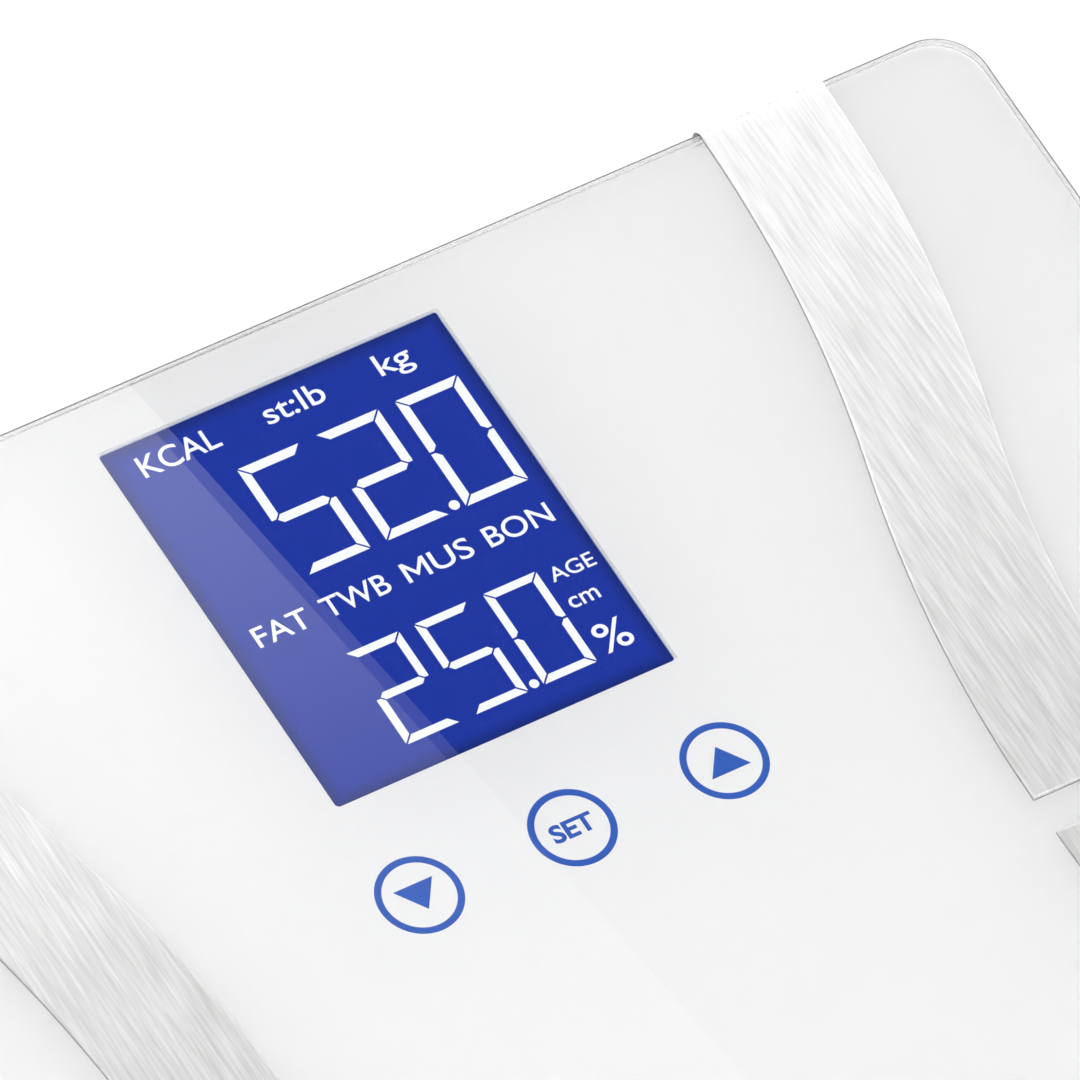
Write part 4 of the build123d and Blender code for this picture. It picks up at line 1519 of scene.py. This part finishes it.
@dataclass
class Studio:
    """Pale floor, soft lights and the camera."""

    floor_size: float = 12.0
    floor_colour: Colour = (0.90, 0.90, 0.90)
    azimuth: float = -43.3
    elevation: float = 55.5
    roll: float = 14.3
    lens: float = 1000.0
    distance: float = 5.244
    aim: Tuple[float, float] = (24.8 * MM, 88.8 * MM)
    sky: float = 1.24
    horizon: float = 0.74
    sky_rise: Point = (0.02, 0.55)
    key_watts: float = 60.0
    panel_height: float = 1.3234
    edge_point: Point = (0.5985, 0.636)
    edge_slope: float = 0.1312
    softbox_width: float = 1.3
    softbox_run: Point = (-0.45, 1.2)
    softbox_fade: Point = (0.665, 0.79)
    softbox_glow: Point = (0.5, 1.75)
    flag_width: float = 0.24
    flag_run: Point = (-0.16, 0.24)
    flag_glow: float = 0.08

    def build(self) -> None:
        """Sets up everything that isn't the object."""
        self._floor()
        self._world()
        self._lights()
        self._camera()

    def _floor(self) -> None:
        """Plain pale floor."""
        bm = bmesh.new()
        bmesh.ops.create_grid(bm, x_segments=1, y_segments=1, size=self.floor_size / 2)
        mesh = bpy.data.meshes.new("floor")
        bm.to_mesh(mesh)
        bm.free()
        floor = bpy.data.objects.new("floor", mesh)
        bpy.context.scene.collection.objects.link(floor)
        make = Recipe("floor_white")
        tone = make.noise(0.6, detail=1.0)
        pale = self.floor_colour
        mesh.materials.append(make.surface(
            Base_Color=make.mix(tone, pale, tuple(channel * 0.99 for channel in pale)), Roughness=0.8,
            Specular_IOR_Level=0.1,
        ))

    def _world(self) -> None:
        """White surroundings, softer towards the horizon."""
        world = bpy.data.worlds.new("studio")
        bpy.context.scene.world = world
        world.use_nodes = True
        nodes, links = world.node_tree.nodes, world.node_tree.links
        nodes.clear()
        output = nodes.new("ShaderNodeOutputWorld")
        background = nodes.new("ShaderNodeBackground")
        background.inputs["Color"].default_value = (1.0, 1.0, 1.0, 1.0)
        place = nodes.new("ShaderNodeTexCoord")
        split = nodes.new("ShaderNodeSeparateXYZ")
        rise = nodes.new("ShaderNodeMapRange")
        rise.interpolation_type = "SMOOTHSTEP"
        limits = (*self.sky_rise, self.horizon, self.sky)
        for socket, value in zip(("From Min", "From Max", "To Min", "To Max"), limits):
            rise.inputs[socket].default_value = value
        links.new(place.outputs["Generated"], split.inputs[0])
        links.new(split.outputs["Z"], rise.inputs["Value"])
        links.new(rise.outputs["Result"], background.inputs["Strength"])
        links.new(background.outputs[0], output.inputs[0])

    def _lights(self) -> None:
        """Key from the front left, and two panels that only reflections show."""
        self._area("key_left", (-1.5, -1.3, 2.4), (0.0, 0.0, 0.0), 1.6, 1.6, self.key_watts, glossy=False)
        glow = self._panel_glow("softbox_glow", self.softbox_fade, self.softbox_glow)
        dark = self._panel_glow("flag_dark", self.softbox_fade, (self.flag_glow, self.flag_glow))
        self._panel("softbox", -self.softbox_width, 0.0, self.softbox_run, glow)
        self._panel("flag", 0.0, self.flag_width, self.flag_run, dark)

    def _panel_glow(self, name: str, fade: Point, glow: Point) -> bpy.types.Material:
        """Emission that rises along Y.

        Args:
            name: the material's name.
            fade: where the rise starts and ends.
            glow: brightness before and after it.

        Returns:
            The material.
        """
        make = Recipe(name)
        rise = make.axes()[1].ease(*fade)
        tone = make.mix(rise, (glow[0],) * 3, (glow[1],) * 3)
        return make.surface(
            Base_Color=(0.0, 0.0, 0.0, 1.0), Specular_IOR_Level=0.0, Roughness=1.0,
            Emission_Color=tone, Emission_Strength=1.0,
        )

    def _panel(self, name: str, left: float, right: float, run: Point, finish: bpy.types.Material) -> None:
        """Adds a level panel beside the softbox's straight edge.

        Args:
            name: its name.
            left: how far it reaches to the edge's left.
            right: how far it reaches to its right.
            run: where it starts and ends along the edge.
            finish: its material.
        """
        place, slope = Vector((*self.edge_point, self.panel_height)), self.edge_slope
        bm = bmesh.new()
        corners = [(left, run[0]), (left, run[1]), (right, run[1]), (right, run[0])]
        bm.faces.new([bm.verts.new((place.x + x - slope * y, place.y + y, place.z)) for x, y in corners])
        mesh = bpy.data.meshes.new(name)
        bm.to_mesh(mesh)
        bm.free()
        panel = bpy.data.objects.new(name, mesh)
        bpy.context.scene.collection.objects.link(panel)
        mesh.materials.append(finish)
        panel.visible_camera = panel.visible_diffuse = panel.visible_shadow = False

    @staticmethod
    def _area(name: str, place: Sequence[float], target: Sequence[float], width: float, depth: float,
              power: float, glossy: bool) -> None:
        """Adds a rectangular light.

        Args:
            name: its name.
            place: where it stands.
            target: what it points at.
            width: its width.
            depth: its height.
            power: its power in watts.
            glossy: whether shiny surfaces mirror it.
        """
        data = bpy.data.lights.new(name, "AREA")
        data.shape = "RECTANGLE"
        data.size, data.size_y = width, depth
        data.energy = power
        lamp = bpy.data.objects.new(name, data)
        bpy.context.scene.collection.objects.link(lamp)
        lamp.location = place
        lamp.rotation_euler = (Vector(target) - Vector(place)).to_track_quat("-Z", "Y").to_euler()
        lamp.visible_camera = False
        lamp.visible_glossy = glossy

    def _camera(self) -> None:
        """Long lens from the front left, turned about its own axis."""
        data = bpy.data.cameras.new("camera")
        data.lens = self.lens
        data.sensor_width = 36.0
        data.clip_end = 100.0
        camera = bpy.data.objects.new("camera", data)
        bpy.context.scene.collection.objects.link(camera)
        azimuth, elevation = math.radians(self.azimuth), math.radians(self.elevation)
        back = Vector((
            math.sin(azimuth) * math.cos(elevation),
            -math.cos(azimuth) * math.cos(elevation),
            math.sin(elevation),
        ))
        aim = Vector((*self.aim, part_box("glass_platform")[1].z))
        turn = back.to_track_quat("Z", "Y").to_matrix().to_4x4()
        roll = Matrix.Rotation(math.radians(self.roll), 4, "Z")
        camera.matrix_world = Matrix.Translation(aim + back * self.distance) @ turn @ roll
        bpy.context.scene.camera = camera
        bpy.context.scene.view_settings.view_transform = "Standard"


def main() -> None:
    """Builds every sub-assembly in order."""
    logging.basicConfig(level=logging.INFO, format="%(name)s: %(message)s")
    Studio().build()
    display = Display()
    GlassTop().build(display.view_box())
    display.build()
    Electrodes().build()
    Housing().build()
    Feet().build()
    Power().build()
    Inside().build()


if __name__ == "__main__":
    main()
